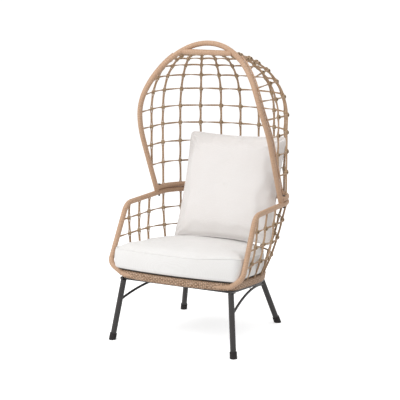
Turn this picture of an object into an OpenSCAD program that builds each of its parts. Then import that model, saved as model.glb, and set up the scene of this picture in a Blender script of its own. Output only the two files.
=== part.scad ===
// Standing egg chair: a wicker hood on a wicker tub seat, four splayed steel legs, two loose cushions.
// Millimetres, +Z up, +X to the sitter's left, -Y to the front, origin on the floor under the middle.

/* [Legs and feet] */
// Half the distance between the front feet at the floor
front_foot_x = 329; // [300:1:345]
// How far the front feet stand in front of the middle
front_foot_y = 374; // [350:1:385]
// Half the distance between the rear feet at the floor
rear_foot_x = 272; // [240:1:290]
// How far the rear feet stand behind the middle
rear_foot_y = 264; // [245:1:285]
// Outer diameter of a leg tube
leg_d = 28; // [24:0.5:32]
// Wall of a leg tube
leg_wall = 1.5; // [1:0.1:2.5]
// Diameter of a rubber foot at its widest
foot_d = 35; // [34:0.5:42]
// Height of a rubber foot along its leg
foot_h = 32; // [24:1:45]

/* [Base frame] */
// Diameter of the rails under the seat
rail_d = 16; // [12:0.5:20]
// Distance of a side rail from the middle
side_rail_x = 294; // [280:1:302]
// Diameter of the arched side braces
brace_d = 12; // [8:0.5:14]
// Height of the brace on the front leg
brace_front_z = 194; // [160:1:210]
// Height of the brace on the rear leg
brace_rear_z = 210; // [160:1:215]
// Rise of the brace above a straight line
brace_rise = 36; // [20:1:40]

/* [Seat] */
// Height of the seat rim's centre at the front
seat_z = 334; // [310:1:360]
// How much the seat tips back, in degrees
seat_tilt = 5; // [0:0.5:8]
// Half the width of the seat rim, to its centre line
seat_x = 303; // [290:1:315]
// How far the rim's front edge stands in front of the middle
seat_front_y = 377; // [360:1:385]
// Radius of the bowed front edge of the seat
seat_bow_r = 1000; // [700:10:1600]
// Radius of the seat rim's front corners
seat_corner_r = 75; // [50:1:110]
// Where the sides of the seat begin to curve in, behind the middle
seat_turn_y = -95; // [-130:1:-60]
// Length of the curved rear half of the seat rim
seat_rear_b = 375; // [340:1:400]
// Height of the woven rim band
band_h = 35; // [28:0.5:42]
// Width of the woven rim band
band_w = 30; // [26:0.5:36]
// Diameter of the steel tube inside the rim band
rim_tube_d = 19; // [16:0.5:22]
// Number of support bars under the cushion
deck_bars = 3; // [2:1:5]
// Number of straps laid over the support bars
deck_straps = 7; // [5:2:9]
// Width of a strap
strap_w = 62; // [30:1:62]

/* [Wrapped tubes] */
// Outer diameter of the wicker-wrapped tubes
wrap_d = 26; // [24:0.5:27]
// Diameter of the steel tube inside the wrapping
core_d = 19; // [16:0.5:20]
// Height of the arm rail's centre above the floor
arm_z = 645; // [620:1:670]
// Half the width between the arm rails
arm_x = 350; // [340:1:360]
// Where the arm rail's sides begin to curve in, behind the middle
arm_turn_y = 144; // [120:1:160]
// Length of the curved rear half of the arm rail
arm_rear_b = 236; // [210:1:250]
// How far the arm's front corner stands in front of the middle
arm_corner_y = 186; // [165:1:200]
// Bend radius of the arm's front corner
arm_bend_r = 70; // [50:1:90]

/* [Hood] */
// Height where the hoop's sides turn into its arch
arch_spring_z = 945; // [920:1:980]
// Height of the hoop's top, to its centre line
hoop_top_z = 1428; // [1415:1:1460]
// Half the width of the hoop's feet
hoop_foot_x = 347; // [340:1:352]
// Height where the hoop stands furthest forward
hoop_knee_z = 1145; // [1120:1:1170]
// Where the two straight halves of the hoop's side view would meet, behind the middle
hoop_knee_y = -122; // [-140:1:-105]
// Lean of the two halves of the hoop, as run over rise
hoop_lean = 0.48; // [0.45:0.005:0.5]
// How softly the two halves blend, as a height
hoop_soft = 80; // [60:1:100]
// Drop from the hoop's top to the cross bar, between their centre lines
bar_drop = 43; // [36:1:58]
// Height where the hood's back starts to close over
dome_spring_z = 1055; // [1030:1:1080]
// Fullness of the dome, where 1 is an ellipse and less is fuller
dome_fullness = 0.93; // [0.85:0.01:1]

/* [Net] */
// Distance between the upright strands across the back
net_pitch = 107; // [98:1:110]
// Distance from the fourth to the fifth upright strand of the hood
hood_side_gap = 112; // [100:1:120]
// Distance from the fourth to the fifth upright strand of the tub
tub_side_gap = 138; // [125:1:145]
// Distance between the upright strands along the arms
arm_pitch = 102; // [90:1:106]
// How much the upright strands of the tub close up toward the seat
tub_taper = 0.84; // [0.8:0.01:0.9]
// Diameter of an upright strand pair
strand_d = 11; // [8:0.5:12]
// Diameter of a level strand
ring_d = 8; // [6:0.5:9]
// Distance between the strand ends on the cross bar
bar_pitch = 13; // [12:0.5:18]

/* [Cushions] */
// Thickness of the seat cushion at its edge
cushion_h = 102; // [80:1:110]
// Rise of the seat cushion's crown
cushion_crown = 42; // [25:1:46]
// Half the width of the seat cushion at its front corners
cushion_x = 341; // [325:1:342]
// Radius of the seat cushion's front corners
cushion_corner_r = 45; // [40:1:60]
// Width of the back pillow
pillow_w = 545; // [480:1:548]
// Height of the back pillow
pillow_h = 545; // [480:1:560]
// Thickness of the back pillow at its middle
pillow_t = 152; // [100:1:152]
// Lean of the back pillow, in degrees
pillow_lean = 19.4; // [16:0.2:19.6]
// How far the pillow is turned, in degrees
pillow_turn = 2.7; // [0:0.1:3.2]
// How far the pillow has tipped over to the sitter's right, in degrees
pillow_tip = 0.9; // [0:0.1:1]
// How far the pillow lies to the sitter's left of the middle
pillow_x = 54.5; // [0:0.5:56]
// Where the pillow's lower edge stands, behind the middle
pillow_y = 54; // [30:0.5:54]

/* [Hidden] */

fit_gap = 0.3;            // clearance between pieces that meet
wrap_r = wrap_d / 2;
bore_r = core_d / 2 + fit_gap;
strand_r = strand_d / 2;
ring_r = ring_d / 2;
wrap_sides = 8;
core_sides = 6;
strand_sides = 6;
bore_corner_r = bore_r / cos(180 / wrap_sides);     // the sleeves' bores have flats, which clear the tubes
net_step = (strand_r + ring_r + fit_gap) / 2;   // uprights lie this far outside the surface, levels inside
big = 2000;               // reaches past the whole chair

wicker = [0.77, 0.62, 0.48];
strand_colour = [0.68, 0.54, 0.40];
dark_steel = [0.22, 0.21, 0.22];
bare_steel = [0.62, 0.62, 0.62];
rubber = [0.12, 0.12, 0.12];
cloth = [0.94, 0.93, 0.91];
webbing = [0.16, 0.15, 0.14];

// ---- vectors and paths ----

function unit(v) = v / norm(v);

function mirrored(p) = [-p.x, p.y, p.z];

// A path over both sides of the chair, from the points of its left half, which starts on the middle plane
function both_sides(half) = concat([for (i = [len(half) - 1 : -1 : 1]) mirrored(half[i])], half);

// Direction of a path at each of its points
function tangents(path, closed) = [
    for (i = [0 : len(path) - 1])
        let (last = len(path) - 1)
        unit(closed
            ? path[(i + 1) % (last + 1)] - path[(i + last) % (last + 1)]
            : path[min(i + 1, last)] - path[max(i - 1, 0)])
];

function square_to(n, t) = unit(n - (n * t) * t);

// A side direction carried along a path without twisting
function side_directions(dirs, start) = [
    for (i = 0, n = square_to(start, dirs[0]); i < len(dirs);
         n = square_to(n, dirs[min(i + 1, len(dirs) - 1)]), i = i + 1) n
];

// Moves a point along a direction onto a plane, given as [point, normal]
function onto_plane(p, dir, plane) = p + dir * (((plane[0] - p) * plane[1]) / (dir * plane[1]));

function round_section(r, sides) =
    [for (i = [0 : sides - 1]) r * [cos(i * 360 / sides), sin(i * 360 / sides)]];
wrap_section = round_section(wrap_r, wrap_sides);
bore_section = round_section(bore_corner_r, wrap_sides);

// Rings of points of a section carried along a path; cuts holds its two end planes, if they aren't square
function section_rings(path, section, start, closed, cuts) =
    let (dirs = tangents(path, closed), sides = side_directions(dirs, start), last = len(path) - 1)
    [
        for (i = [0 : last])
            let (across = cross(dirs[i], sides[i]))
            for (s = section)
                let (p = path[i] + s.x * sides[i] + s.y * across)
                (i == 0 && cuts[0] != undef) ? onto_plane(p, dirs[i], cuts[0])
                : (i == last && cuts[1] != undef) ? onto_plane(p, dirs[i], cuts[1])
                : p
    ];

// Side faces between rings of m points; inward faces are turned over
function wall_faces(rings, m, first, closed, inward) = [
    for (i = [0 : rings - (closed ? 1 : 2)], j = [0 : m - 1])
        let (a = first + i * m + j,
             b = first + i * m + (j + 1) % m,
             c = first + ((i + 1) % rings) * m + (j + 1) % m,
             d = first + ((i + 1) % rings) * m + j)
        each inward ? [[a, b, c], [a, c, d]] : [[a, c, b], [a, d, c]]
];

// A solid bar of any section along a path
module swept(path, section, start, closed = false, cuts = []) {
    m = len(section);
    rings = len(path);
    last = (rings - 1) * m;
    points = section_rings(path, section, start, closed, cuts);
    ends = closed ? [] : [
        for (j = [1 : m - 2]) each [[0, j, j + 1], [last, last + j + 1, last + j]]
    ];
    polyhedron(points, concat(wall_faces(rings, m, 0, closed, false), ends), convexity = 10);
}

// A hollow sleeve along a path with two ends, with the same number of points in both sections
module sleeve(path, section, bore, start, cuts = []) {
    m = len(section);
    rings = len(path);
    inner = rings * m;
    points = concat(section_rings(path, section, start, false, cuts),
                    section_rings(path, bore, start, false, cuts));
    last = (rings - 1) * m;
    ends = [
        for (j = [0 : m - 1])
            let (k = (j + 1) % m)
            each [
                [j, k, inner + k], [j, inner + k, inner + j],
                [last + j, inner + last + k, last + k], [last + j, inner + last + j, inner + last + k]
            ]
    ];
    walls = concat(wall_faces(rings, m, 0, false, false), wall_faces(rings, m, inner, false, true));
    polyhedron(points, concat(walls, ends), convexity = 10);
}

// Points of a round bend of radius r at the corner v, between the points a and b
function bend(a, v, b, r, steps) =
    let (u = unit(a - v), w = unit(b - v),
         turn = 180 - acos(u * w),
         centre = v + unit(u + w) * r / cos(turn / 2),
         from = unit(v + u * r * tan(turn / 2) - centre),
         to = square_to(v + w * r * tan(turn / 2) - centre, from))
    [for (i = [0 : steps]) centre + r * (cos(turn * i / steps) * from + sin(turn * i / steps) * to)];

// Where a strand from the point p stops short of a tube whose axis runs through q along dir
function stop_short(p, q, dir, tube_r, own_r) =
    let (d = unit(p - q), along = abs(d * dir), aside = norm(cross(d, dir)))
    q + d * (tube_r + fit_gap + own_r * along) / aside;

// ---- the outline that rims, rails and nets share: straight sides and a half-ellipse behind ----

// Running length round a quarter ellipse, as [length, angle] pairs from the back's middle
function quarter_table(a, b) = [
    for (i = 0, run = 0; i <= 45;
         run = run + norm([a * (sin(2 * i + 2) - sin(2 * i)), b * (cos(2 * i + 2) - cos(2 * i))]), i = i + 1)
        [run, 2 * i]
];

// Point of the outline at a running length from the back's middle
function outline_point(run, a, turn_y, b) =
    let (table = quarter_table(a, b), quarter = table[45][0], angle = lookup(min(run, quarter), table))
    [a * sin(angle), turn_y + b * cos(angle) - max(run - quarter, 0)];

// ---- seat rim ----

// A point given by its place on the level seat plan, and its height over the rim's centre
function on_seat(x, y, z) = [
    x,
    -seat_front_y + (y + seat_front_y) * cos(seat_tilt) + z * sin(seat_tilt),
    seat_z - (y + seat_front_y) * sin(seat_tilt) + z * cos(seat_tilt)
];
seat_up = [0, sin(seat_tilt), cos(seat_tilt)];

module on_seat_plane() {
    translate([0, -seat_front_y, seat_z])
        rotate([-seat_tilt, 0, 0])
            translate([0, seat_front_y, 0])
                children();
}

// Centre of a plan's rounded left front corner, where a front bowed to radius bow meets the side at x
function corner_centre(x, front_y, r, bow) =
    [x - r, bow - front_y - sqrt(pow(bow - r, 2) - pow(x - r, 2))];

// Points of a plan's front half from the middle round the left corner
function front_edge(x, front_y, r, bow) =
    let (c = corner_centre(x, front_y, r, bow), lean = asin(c.x / (bow - r)))
    concat(
        [for (i = [0 : 3]) [bow * sin(lean * i / 4), bow - front_y - bow * cos(lean * i / 4)]],
        [for (i = [0 : 5]) let (t = lean + (90 - lean) * i / 5) c + r * [sin(t), -cos(t)]]
    );

// A whole edge, running round once, from its left half
function whole_edge(half) = concat(half, [for (i = [len(half) - 2 : -1 : 1]) [-half[i].x, half[i].y]]);

seat_corner = corner_centre(seat_x, seat_front_y, seat_corner_r, seat_bow_r);
rim_edge = whole_edge(concat(
    front_edge(seat_x, seat_front_y, seat_corner_r, seat_bow_r),
    [[seat_x, (seat_corner.y + seat_turn_y) / 2]],
    [for (t = [90 : -10 : 0]) [seat_x * sin(t), seat_turn_y + seat_rear_b * cos(t)]]
));
rim_path = [for (p = rim_edge) on_seat(p.x, p.y, 0)];

rim_bore_corner_r = (rim_tube_d / 2 + fit_gap) / cos(180 / wrap_sides);
band_edge = 6;            // rounding of the band's corners
band_section = [
    for (c = [[1, 1], [-1, 1], [-1, -1], [1, -1]])
        let (h = band_h / 2, w = band_w / 2,
             near = [c.x * h, c.y * (w - band_edge)], far = [c.x * (h - band_edge), c.y * w])
        each c.x * c.y > 0 ? [near, far] : [far, near]
];

bolt_d = 6;
bolt_clear = 0.4;
seat_bolt_y = [-290, -120];
seat_bolt_reach = band_h / 2 + rim_tube_d / 2 - 2;
bolt_head_d = 13;
bolt_head_h = 4;
rail_drop = band_h / 2 + fit_gap + rail_d / 2;

module seat_bolt_places() {
    for (side = [1, -1], y = seat_bolt_y)
        on_seat_plane()
            translate([side * side_rail_x, y, -rail_drop])
                children();
}

module seat_bolt_holes() {
    seat_bolt_places()
        translate([0, 0, -rail_d])
            cylinder(d = bolt_d + bolt_clear, h = rail_d + rail_drop + 3, $fn = 32);
}

module seat_rim_tube() {
    color(bare_steel)
        difference() {
            swept(rim_path, round_section(rim_tube_d / 2, core_sides), seat_up, closed = true);
            seat_bolt_holes();
        }
}

module seat_rim_weave() {
    color(wicker)
        difference() {
            swept(rim_path, band_section, seat_up, closed = true);
            swept(rim_path, round_section(rim_bore_corner_r, wrap_sides), seat_up, closed = true);
            seat_bolt_holes();
        }
}

// ---- base: rails, legs, feet, braces ----

rail_front_y = -335;      // front ends of the side rails
rail_straight_y = -60;    // where the side rails start to turn in
rail_turn_r = 388;
rail_turn = 41;

module side_rail() {
    on_seat_plane()
        translate([0, 0, -rail_drop])
            difference() {
                union() {
                    translate([side_rail_x, rail_front_y, 0])
                        rotate([-90, 0, 0])
                            cylinder(d = rail_d, h = rail_straight_y - rail_front_y, $fn = 32);
                    translate([side_rail_x - rail_turn_r, rail_straight_y, 0])
                        rotate_extrude(angle = rail_turn, $fn = 96)
                            translate([rail_turn_r, 0])
                                circle(d = rail_d, $fn = 32);
                }
                for (y = seat_bolt_y)
                    translate([side_rail_x, y, -rail_d])
                        cylinder(d = bolt_d + bolt_clear, h = 2 * rail_d, $fn = 32);
            }
}

module side_rail_left() {
    color(dark_steel) side_rail();
}

module side_rail_right() {
    color(dark_steel) mirror([1, 0, 0]) side_rail();
}

side_rail_end = [
    side_rail_x - rail_turn_r * (1 - cos(rail_turn)),
    rail_straight_y + rail_turn_r * sin(rail_turn)
];
front_bar_y = -318;
rear_bar_turn = 37.47;    // how far round the side rails' turn the rear cross bar sits
rear_bar_y = rail_straight_y + rail_turn_r * sin(rear_bar_turn);

// A level bar between the side rails
module base_cross_bar(y, reach) {
    color(dark_steel)
        on_seat_plane()
            translate([-reach, y, -rail_drop])
                rotate([0, 90, 0])
                    cylinder(d = rail_d, h = 2 * reach, $fn = 32);
}

module front_cross_bar() {
    base_cross_bar(front_bar_y, side_rail_x - rail_d / 2 - fit_gap);
}

module rear_cross_bar() {
    rail_x = side_rail_x - rail_turn_r * (1 - cos(rear_bar_turn));
    reach = rail_x - (rail_d / 2 * (1 + sin(rear_bar_turn)) + 2 * fit_gap) / cos(rear_bar_turn);
    base_cross_bar(rear_bar_y, reach);
}

// Foot point on the floor and top point among the rails, for a left leg; the tops are places along the seat
front_leg_top = [side_rail_x - 5, -320];
rear_leg_top = side_rail_end + [8.17, -6.55];
front_leg = [[front_foot_x, -front_foot_y, 0], on_seat(front_leg_top.x, front_leg_top.y, -rail_drop)];
rear_leg = [[rear_foot_x, rear_foot_y, 0], on_seat(rear_leg_top.x, rear_leg_top.y, -rail_drop)];

function leg_at(leg, z) = leg[0] + (leg[1] - leg[0]) * z / leg[1].z;

seam_turn = 40;           // turns a round piece about its own line, so that its seam keeps off the cuts' tips

// Children along the line of a leg, from its point on the floor
module along_leg(leg) {
    v = leg[1] - leg[0];
    translate(leg[0])
        rotate([0, acos(v.z / norm(v)), atan2(v.y, v.x)])
            rotate([0, 0, seam_turn])
                children();
}

sole = 6;                 // rubber under the end of a leg

module leg(ends) {
    color(dark_steel)
        difference() {
            along_leg(ends)
                translate([0, 0, foot_start(ends)])
                    difference() {
                        cylinder(d = leg_d, h = norm(ends[1] - ends[0]) - foot_start(ends), $fn = 48);
                        translate([0, 0, -1])
                            cylinder(d = leg_d - 2 * leg_wall, h = big, $fn = 48);
                    }
            on_seat_plane()
                translate([-big / 2, -big / 2, -rail_drop - rail_d / 2 - fit_gap])
                    cube(big);
        }
}

// Distance along a leg from the floor to the leg tube's end inside its foot
function foot_start(ends) =
    sole + foot_d / 2 * norm([ends[1].x - ends[0].x, ends[1].y - ends[0].y]) / ends[1].z;

module foot(ends) {
    color(rubber)
        difference() {
            along_leg(ends)
                translate([0, 0, -foot_d / 2])
                    cylinder(d = foot_d, h = foot_d / 2 + foot_h, $fn = 64);
            along_leg(ends)
                translate([0, 0, foot_start(ends) - fit_gap])
                    cylinder(d = leg_d + fit_gap, h = foot_h, $fn = 64);
            translate([-big / 2, -big / 2, -big])
                cube(big);
        }
}

function right_side(ends) = [mirrored(ends[0]), mirrored(ends[1])];

module leg_front_left() leg(front_leg);
module leg_front_right() leg(right_side(front_leg));
module leg_rear_left() leg(rear_leg);
module leg_rear_right() leg(right_side(rear_leg));
module foot_front_left() foot(front_leg);
module foot_front_right() foot(right_side(front_leg));
module foot_rear_left() foot(rear_leg);
module foot_rear_right() foot(right_side(rear_leg));

// Distance from a leg's axis at which a brace starts; level is its direction in plan, slope its rise
function leg_clearance(ends, level, slope) =
    let (d = [level.x * cos(slope), level.y * cos(slope), sin(slope)],
         c = abs(d * unit(ends[1] - ends[0])))
    (leg_d / 2 + fit_gap + brace_d / 2 * c) / sqrt(1 - c * c);

// A shallow arch between the front and the rear leg
module side_brace() {
    from = leg_at(front_leg, brace_front_z);
    to = leg_at(rear_leg, brace_rear_z);
    chord = norm(to - from);
    r = (chord * chord / 4 + brace_rise * brace_rise) / (2 * brace_rise);
    half_angle = asin(chord / 2 / r);
    tilt = asin((to.z - from.z) / chord);
    along = unit([to.x - from.x, to.y - from.y]);
    front_trim = leg_clearance(front_leg, along, half_angle + tilt) / r * 180 / PI;
    rear_trim = leg_clearance(rear_leg, -along, half_angle - tilt) / r * 180 / PI;
    translate((from + to) / 2)
        rotate([0, 0, atan2(to.y - from.y, to.x - from.x)])
            rotate([0, -tilt, 0])
                translate([0, 0, brace_rise - r])
                    rotate([90, 0, 0])
                        rotate([0, 0, 90 - half_angle + rear_trim])
                            rotate_extrude(angle = 2 * half_angle - front_trim - rear_trim, $fn = 360)
                                translate([r, 0])
                                    circle(d = brace_d, $fn = 24);
}

module side_brace_left() {
    color(dark_steel) side_brace();
}

module side_brace_right() {
    color(dark_steel) mirror([1, 0, 0]) side_brace();
}

module seat_bolts() {
    color(bare_steel)
        seat_bolt_places() {
            translate([0, 0, -rail_d / 2 - fit_gap - bolt_head_h])
                cylinder(d = bolt_head_d, h = bolt_head_h, $fn = 6);
            translate([0, 0, -rail_d / 2 - fit_gap - bolt_head_h / 2])
                cylinder(d = bolt_d, h = rail_d / 2 + rail_drop + fit_gap, $fn = 32);
        }
}

// ---- seat deck ----

deck_bar_d = 14;
deck_bar_z = -1;
deck_front_y = -270;
deck_rear_y = 110;
strap_t = 3;

// Inside edge of the band, as built in straight pieces, from the front's middle to the back's middle
rim_half_count = (len(rim_edge) + 2) / 2;
rim_dirs = tangents(rim_edge, true);
inside_half = [
    for (i = [0 : rim_half_count - 1])
        rim_edge[i] - (band_w / 2 + fit_gap) * [rim_dirs[i].y, -rim_dirs[i].x]
];
front_count = 9;          // points of that edge up to the end of the front corner

// Half the clear width between the insides of the band, at a place along the seat
function inside_x(y) =
    lookup(y, [for (i = [front_count : rim_half_count - 1]) [inside_half[i].y, inside_half[i].x]]);

// Where the inside of the band crosses a line along the seat, at the front and at the back
function inside_front_y(x) = lookup(x, [for (i = [0 : front_count]) [inside_half[i].x, inside_half[i].y]]);
function inside_rear_y(x) =
    lookup(x, [for (i = [front_count + 2 : rim_half_count - 1]) [inside_half[i].x, inside_half[i].y]]);

module seat_support_bars() {
    color(dark_steel)
        for (i = [0 : deck_bars - 1]) {
            y = deck_front_y + (deck_rear_y - deck_front_y) * i / (deck_bars - 1);
            reach = min(inside_x(y - deck_bar_d / 2), inside_x(y + deck_bar_d / 2)) - fit_gap;
            on_seat_plane()
                translate([-reach, y, deck_bar_z])
                    rotate([0, 90, 0])
                        cylinder(d = deck_bar_d, h = 2 * reach, $fn = 32);
        }
}

module seat_straps() {
    side = (deck_straps - 1) / 2;
    pitch = 2 * (seat_x - seat_corner_r) / deck_straps;
    color(webbing)
        for (i = [-side : side]) {
            x = i * pitch;
            edge = abs(x) + strap_w / 2;
            y0 = inside_front_y(edge);
            on_seat_plane()
                translate([x - strap_w / 2, y0, deck_bar_z + deck_bar_d / 2 + fit_gap])
                    cube([strap_w, inside_rear_y(edge) - y0, strap_t]);
        }
}

// ---- arm rail of the tub ----

post_knee = [357, -338, 376];     // where the post turns in to the seat rim's corner
post_land = 45;                   // where round the corner the post meets the rim band, in degrees
post_out = seat_corner_r + band_w / 2 + fit_gap;
post_foot = on_seat(seat_corner.x + post_out * sin(post_land), seat_corner.y - post_out * cos(post_land), 0);
post_cut = on_seat(sin(post_land), -cos(post_land), 0) - on_seat(0, 0, 0);

arm_half = concat(
    [for (t = [0 : 7.5 : 90]) [arm_x * sin(t), arm_turn_y + arm_rear_b * cos(t), arm_z]],
    [[arm_x, 0, arm_z]],
    bend([arm_x, 0, arm_z], [arm_x, -arm_corner_y, arm_z], post_knee, arm_bend_r, 6),
    bend([arm_x, -arm_corner_y, arm_z], post_knee, post_foot, 46, 5),
    [post_foot]
);
arm_path = both_sides(arm_half);
arm_cuts = [[mirrored(post_foot), mirrored(post_cut)], [post_foot, post_cut]];
arm_slope = unit(post_knee - [arm_x, -arm_corner_y, arm_z]);

hood_z = arm_z + wrap_d + fit_gap;    // centre of the hood's lower rail, on top of the arm rail
hood_bolt_len = 2 * wrap_d + fit_gap;
nut_h = 6;
rear_bolt_angle = 27;
hood_bolt_places = [
    for (side = [1, -1]) each [
        [side * arm_x, arm_turn_y, arm_z],
        [side * arm_x * sin(rear_bolt_angle), arm_turn_y + arm_rear_b * cos(rear_bolt_angle), arm_z]
    ]
];

module hood_bolt_holes() {
    for (p = hood_bolt_places)
        translate(p - [0, 0, wrap_d])
            cylinder(d = bolt_d + bolt_clear, h = 3 * wrap_d, $fn = 24);
}

module arm_rail_tube() {
    color(bare_steel)
        difference() {
            swept(arm_path, round_section(core_d / 2, core_sides), [0, 0, 1], cuts = arm_cuts);
            hood_bolt_holes();
        }
}

module arm_rail_wrap() {
    color(wicker)
        difference() {
            sleeve(arm_path, wrap_section, bore_section, [0, 0, 1],
                   cuts = arm_cuts);
            hood_bolt_holes();
        }
}

// ---- hood frame ----

function hoop_y(z) = hoop_knee_y + hoop_lean * sqrt(pow(z - hoop_knee_z, 2) + pow(hoop_soft, 2));

// Half the hoop's width at a height
function hoop_x(z) =
    let (up = (z - arch_spring_z) / (hoop_top_z - arch_spring_z))
    z < arch_spring_z
        ? hoop_foot_x + (arm_x - hoop_foot_x) * (z - hood_z) / (arch_spring_z - hood_z)
        : arm_x * sqrt(1 - up * up);

function hoop_point(z) = [hoop_x(z), hoop_y(z), z];
function hoop_direction(z) = unit(hoop_point(z + 1) - hoop_point(z - 1));

// Point of the arch at an angle round it from the side
function arch_point(t) =
    let (z = arch_spring_z + (hoop_top_z - arch_spring_z) * sin(t)) [arm_x * cos(t), hoop_y(z), z];

hoop_foot_z = arm_z + wrap_r + fit_gap;
leg_steps = 4;
hoop_half = concat(
    [for (t = [90 : -6 : 6]) arch_point(t)],
    [for (i = [0 : leg_steps]) hoop_point(arch_spring_z + (hoop_foot_z - arch_spring_z) * i / leg_steps)]
);
hoop_path = both_sides(hoop_half);
hoop_cuts = [[[0, 0, hoop_foot_z], [0, 0, 1]], [[0, 0, hoop_foot_z], [0, 0, 1]]];

module hood_hoop_tube() {
    color(bare_steel)
        swept(hoop_path, round_section(core_d / 2, core_sides), [0, 1, 0], cuts = hoop_cuts);
}

module hood_hoop_wrap() {
    color(wicker)
        sleeve(hoop_path, wrap_section, bore_section, [0, 1, 0],
               cuts = hoop_cuts);
}

// The hoop as built, in straight pieces between its points, at a height
function hoop_built(z) =
    [lookup(z, [for (p = hoop_half) [p.z, p.x]]), lookup(z, [for (p = hoop_half) [p.z, p.y]]), z];
function hoop_built_dir(z) = unit(hoop_built(z + 1) - hoop_built(z - 1));

edge_r = 4;               // radius of the cord laid along the hoop's outer back
edge_turn = 58;           // how far round the hoop it lies, from straight behind
edge_first = 5;           // the hoop's point, counted from its top, beside which the cord ends
edge_foot_z = hood_z + wrap_d;

hoop_dirs = tangents(hoop_half, false);
edge_half = concat(
    [for (i = [edge_first : len(hoop_half) - 2]) beside_hoop(hoop_half[i], hoop_dirs[i])],
    [beside_hoop(hoop_built(edge_foot_z), hoop_built_dir(edge_foot_z))]
);

// Centre of the cord beside a point of the hoop's left half
function beside_hoop(p, dir) =
    let (out = square_to([p.x, 0, max(p.z - arch_spring_z, 0)], dir),
         back = cross(dir, out))
    p + (wrap_r + edge_r + fit_gap) * (sin(edge_turn) * out + cos(edge_turn) * sign(back.y) * back);

module hood_edge_cords() {
    color(strand_colour)
        for (line = [edge_half, [for (p = edge_half) mirrored(p)]])
            swept(line, round_section(edge_r, strand_sides), [0, 1, 0]);
}

// The lower rail is cut to lie against the back of the hoop's feet
hoop_foot_dir = hoop_direction(hood_z);
rail_end_normal = unit(cross(hoop_foot_dir, [1, 0, 0]));
rail_end = [arm_x, hoop_y(hood_z), hood_z] + (wrap_r + fit_gap) * rail_end_normal * sign(rail_end_normal.y);
hood_rail_half = concat(
    [for (t = [0 : 7.5 : 82.5]) [arm_x * sin(t), arm_turn_y + arm_rear_b * cos(t), hood_z]],
    [[arm_x, arm_turn_y, hood_z], [arm_x, rail_end.y, hood_z]]
);
hood_rail_path = both_sides(hood_rail_half);
hood_rail_cuts = [[mirrored(rail_end), rail_end_normal], [rail_end, rail_end_normal]];

module hood_rail_tube() {
    color(bare_steel)
        difference() {
            swept(hood_rail_path, round_section(core_d / 2, core_sides), [0, 0, 1], cuts = hood_rail_cuts);
            hood_bolt_holes();
        }
}

module hood_rail_wrap() {
    color(wicker)
        difference() {
            sleeve(hood_rail_path, wrap_section, bore_section, [0, 0, 1],
                   cuts = hood_rail_cuts);
            hood_bolt_holes();
        }
}

// Straight bar between the hoop's shoulders
bar_z = hoop_top_z - bar_drop;
bar_y = hoop_y(bar_z);
bar_ease = 0.0095 * pow(wrap_d, 2);   // the arch closes in over the bar's ends
bar_reach = -bar_ease
    + stop_short([0, bar_y, bar_z], hoop_point(bar_z), hoop_direction(bar_z), wrap_r, wrap_r).x;

module cross_bar(outer, inner) {
    translate([-bar_reach, bar_y, bar_z])
        rotate([0, 90, 0])
            difference() {
                cylinder(d = outer, h = 2 * bar_reach, $fn = 32);
                if (inner > 0)
                    translate([0, 0, -1])
                        cylinder(d = inner, h = 2 * bar_reach + 2, $fn = 32);
            }
}

module hood_bar_tube() {
    color(bare_steel) cross_bar(core_d, 0);
}

module hood_bar_wrap() {
    color(wicker) cross_bar(wrap_d, 2 * bore_r);
}

module hood_bolts() {
    color(rubber)
        for (p = hood_bolt_places) {
            translate([p.x, p.y, hood_z + wrap_r + fit_gap])
                cylinder(d = bolt_head_d, h = bolt_head_h, $fn = 32);
            translate([p.x, p.y, arm_z - wrap_r - fit_gap - nut_h - 2])
                cylinder(d = bolt_d, h = hood_bolt_len + 2 * fit_gap + nut_h + 2 + bolt_head_h / 2, $fn = 32);
        }
}

module hood_nuts() {
    color(rubber)
        for (p = hood_bolt_places)
            translate([p.x, p.y, arm_z - wrap_r - fit_gap - nut_h])
                difference() {
                    cylinder(d = bolt_head_d, h = nut_h, $fn = 6);
                    translate([0, 0, -1])
                        cylinder(d = bolt_d + bolt_clear / 2, h = nut_h + 2, $fn = 32);
                }
}

// ---- hood net ----

side_levels = [0.3224, 0.5934, 0.8384];    // level strands below the dome, as shares of the height there
dome_levels = [0.0788, 0.3455, 0.5667, 0.7303, 0.8424, 0.9061, 0.9576];   // and on it, as shares of its rise
hood_ring_z = concat(
    [for (share = side_levels) hood_z + share * (dome_spring_z - hood_z)],
    [for (share = dome_levels) dome_spring_z + share * (bar_z - dome_spring_z)]
);
ring_end_drop = [0, 0, 0, 0, 0, 14, 24, 26, 22, 18];   // how much lower a level strand ends on the hoop
back_strands = 4;         // strands on each side of the middle one that share the back's pitch
bar_back_y = bar_y + wrap_r;

// Running length of a strand from the back's middle
function strand_run(i, side_gap) = i <= back_strands
    ? i * net_pitch
    : back_strands * net_pitch + side_gap + (i - back_strands - 1) * arm_pitch;

// How far the dome has closed over, as [what is left of the plan, rise], for an angle from 0 to 90
function dome_share(angle) = [pow(cos(angle), dome_fullness), pow(sin(angle), dome_fullness)];

function dome_angle(z) = z <= dome_spring_z
    ? 0
    : asin(pow((z - dome_spring_z) / (bar_z - dome_spring_z), 1 / dome_fullness));

// Point of the hood's surface, moved out by step, at a running length and dome angle; z is free below it
function hood_point(run, angle, z, step) =
    let (p = outline_point(abs(run), arm_x + step, arm_turn_y, arm_rear_b + step),
         share = dome_share(angle),
         end_x = abs(run) / net_pitch * bar_pitch,
         x = end_x + (p.x - end_x) * share[0])
    [sign(run) * x, bar_back_y + (p.y - bar_back_y) * share[0],
     angle > 0 ? dome_spring_z + (bar_z - dome_spring_z) * share[1] + step * sin(angle) : z];

// Running lengths of the uprights from the middle to the last one, with the places halfway between them
function net_runs(last, side_gap) = concat([0], [
    for (i = [1 : last])
        each [(strand_run(i - 1, side_gap) + strand_run(i, side_gap)) / 2, strand_run(i, side_gap)]
]);

hood_runs = net_runs(back_strands + 1, hood_side_gap);

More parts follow.
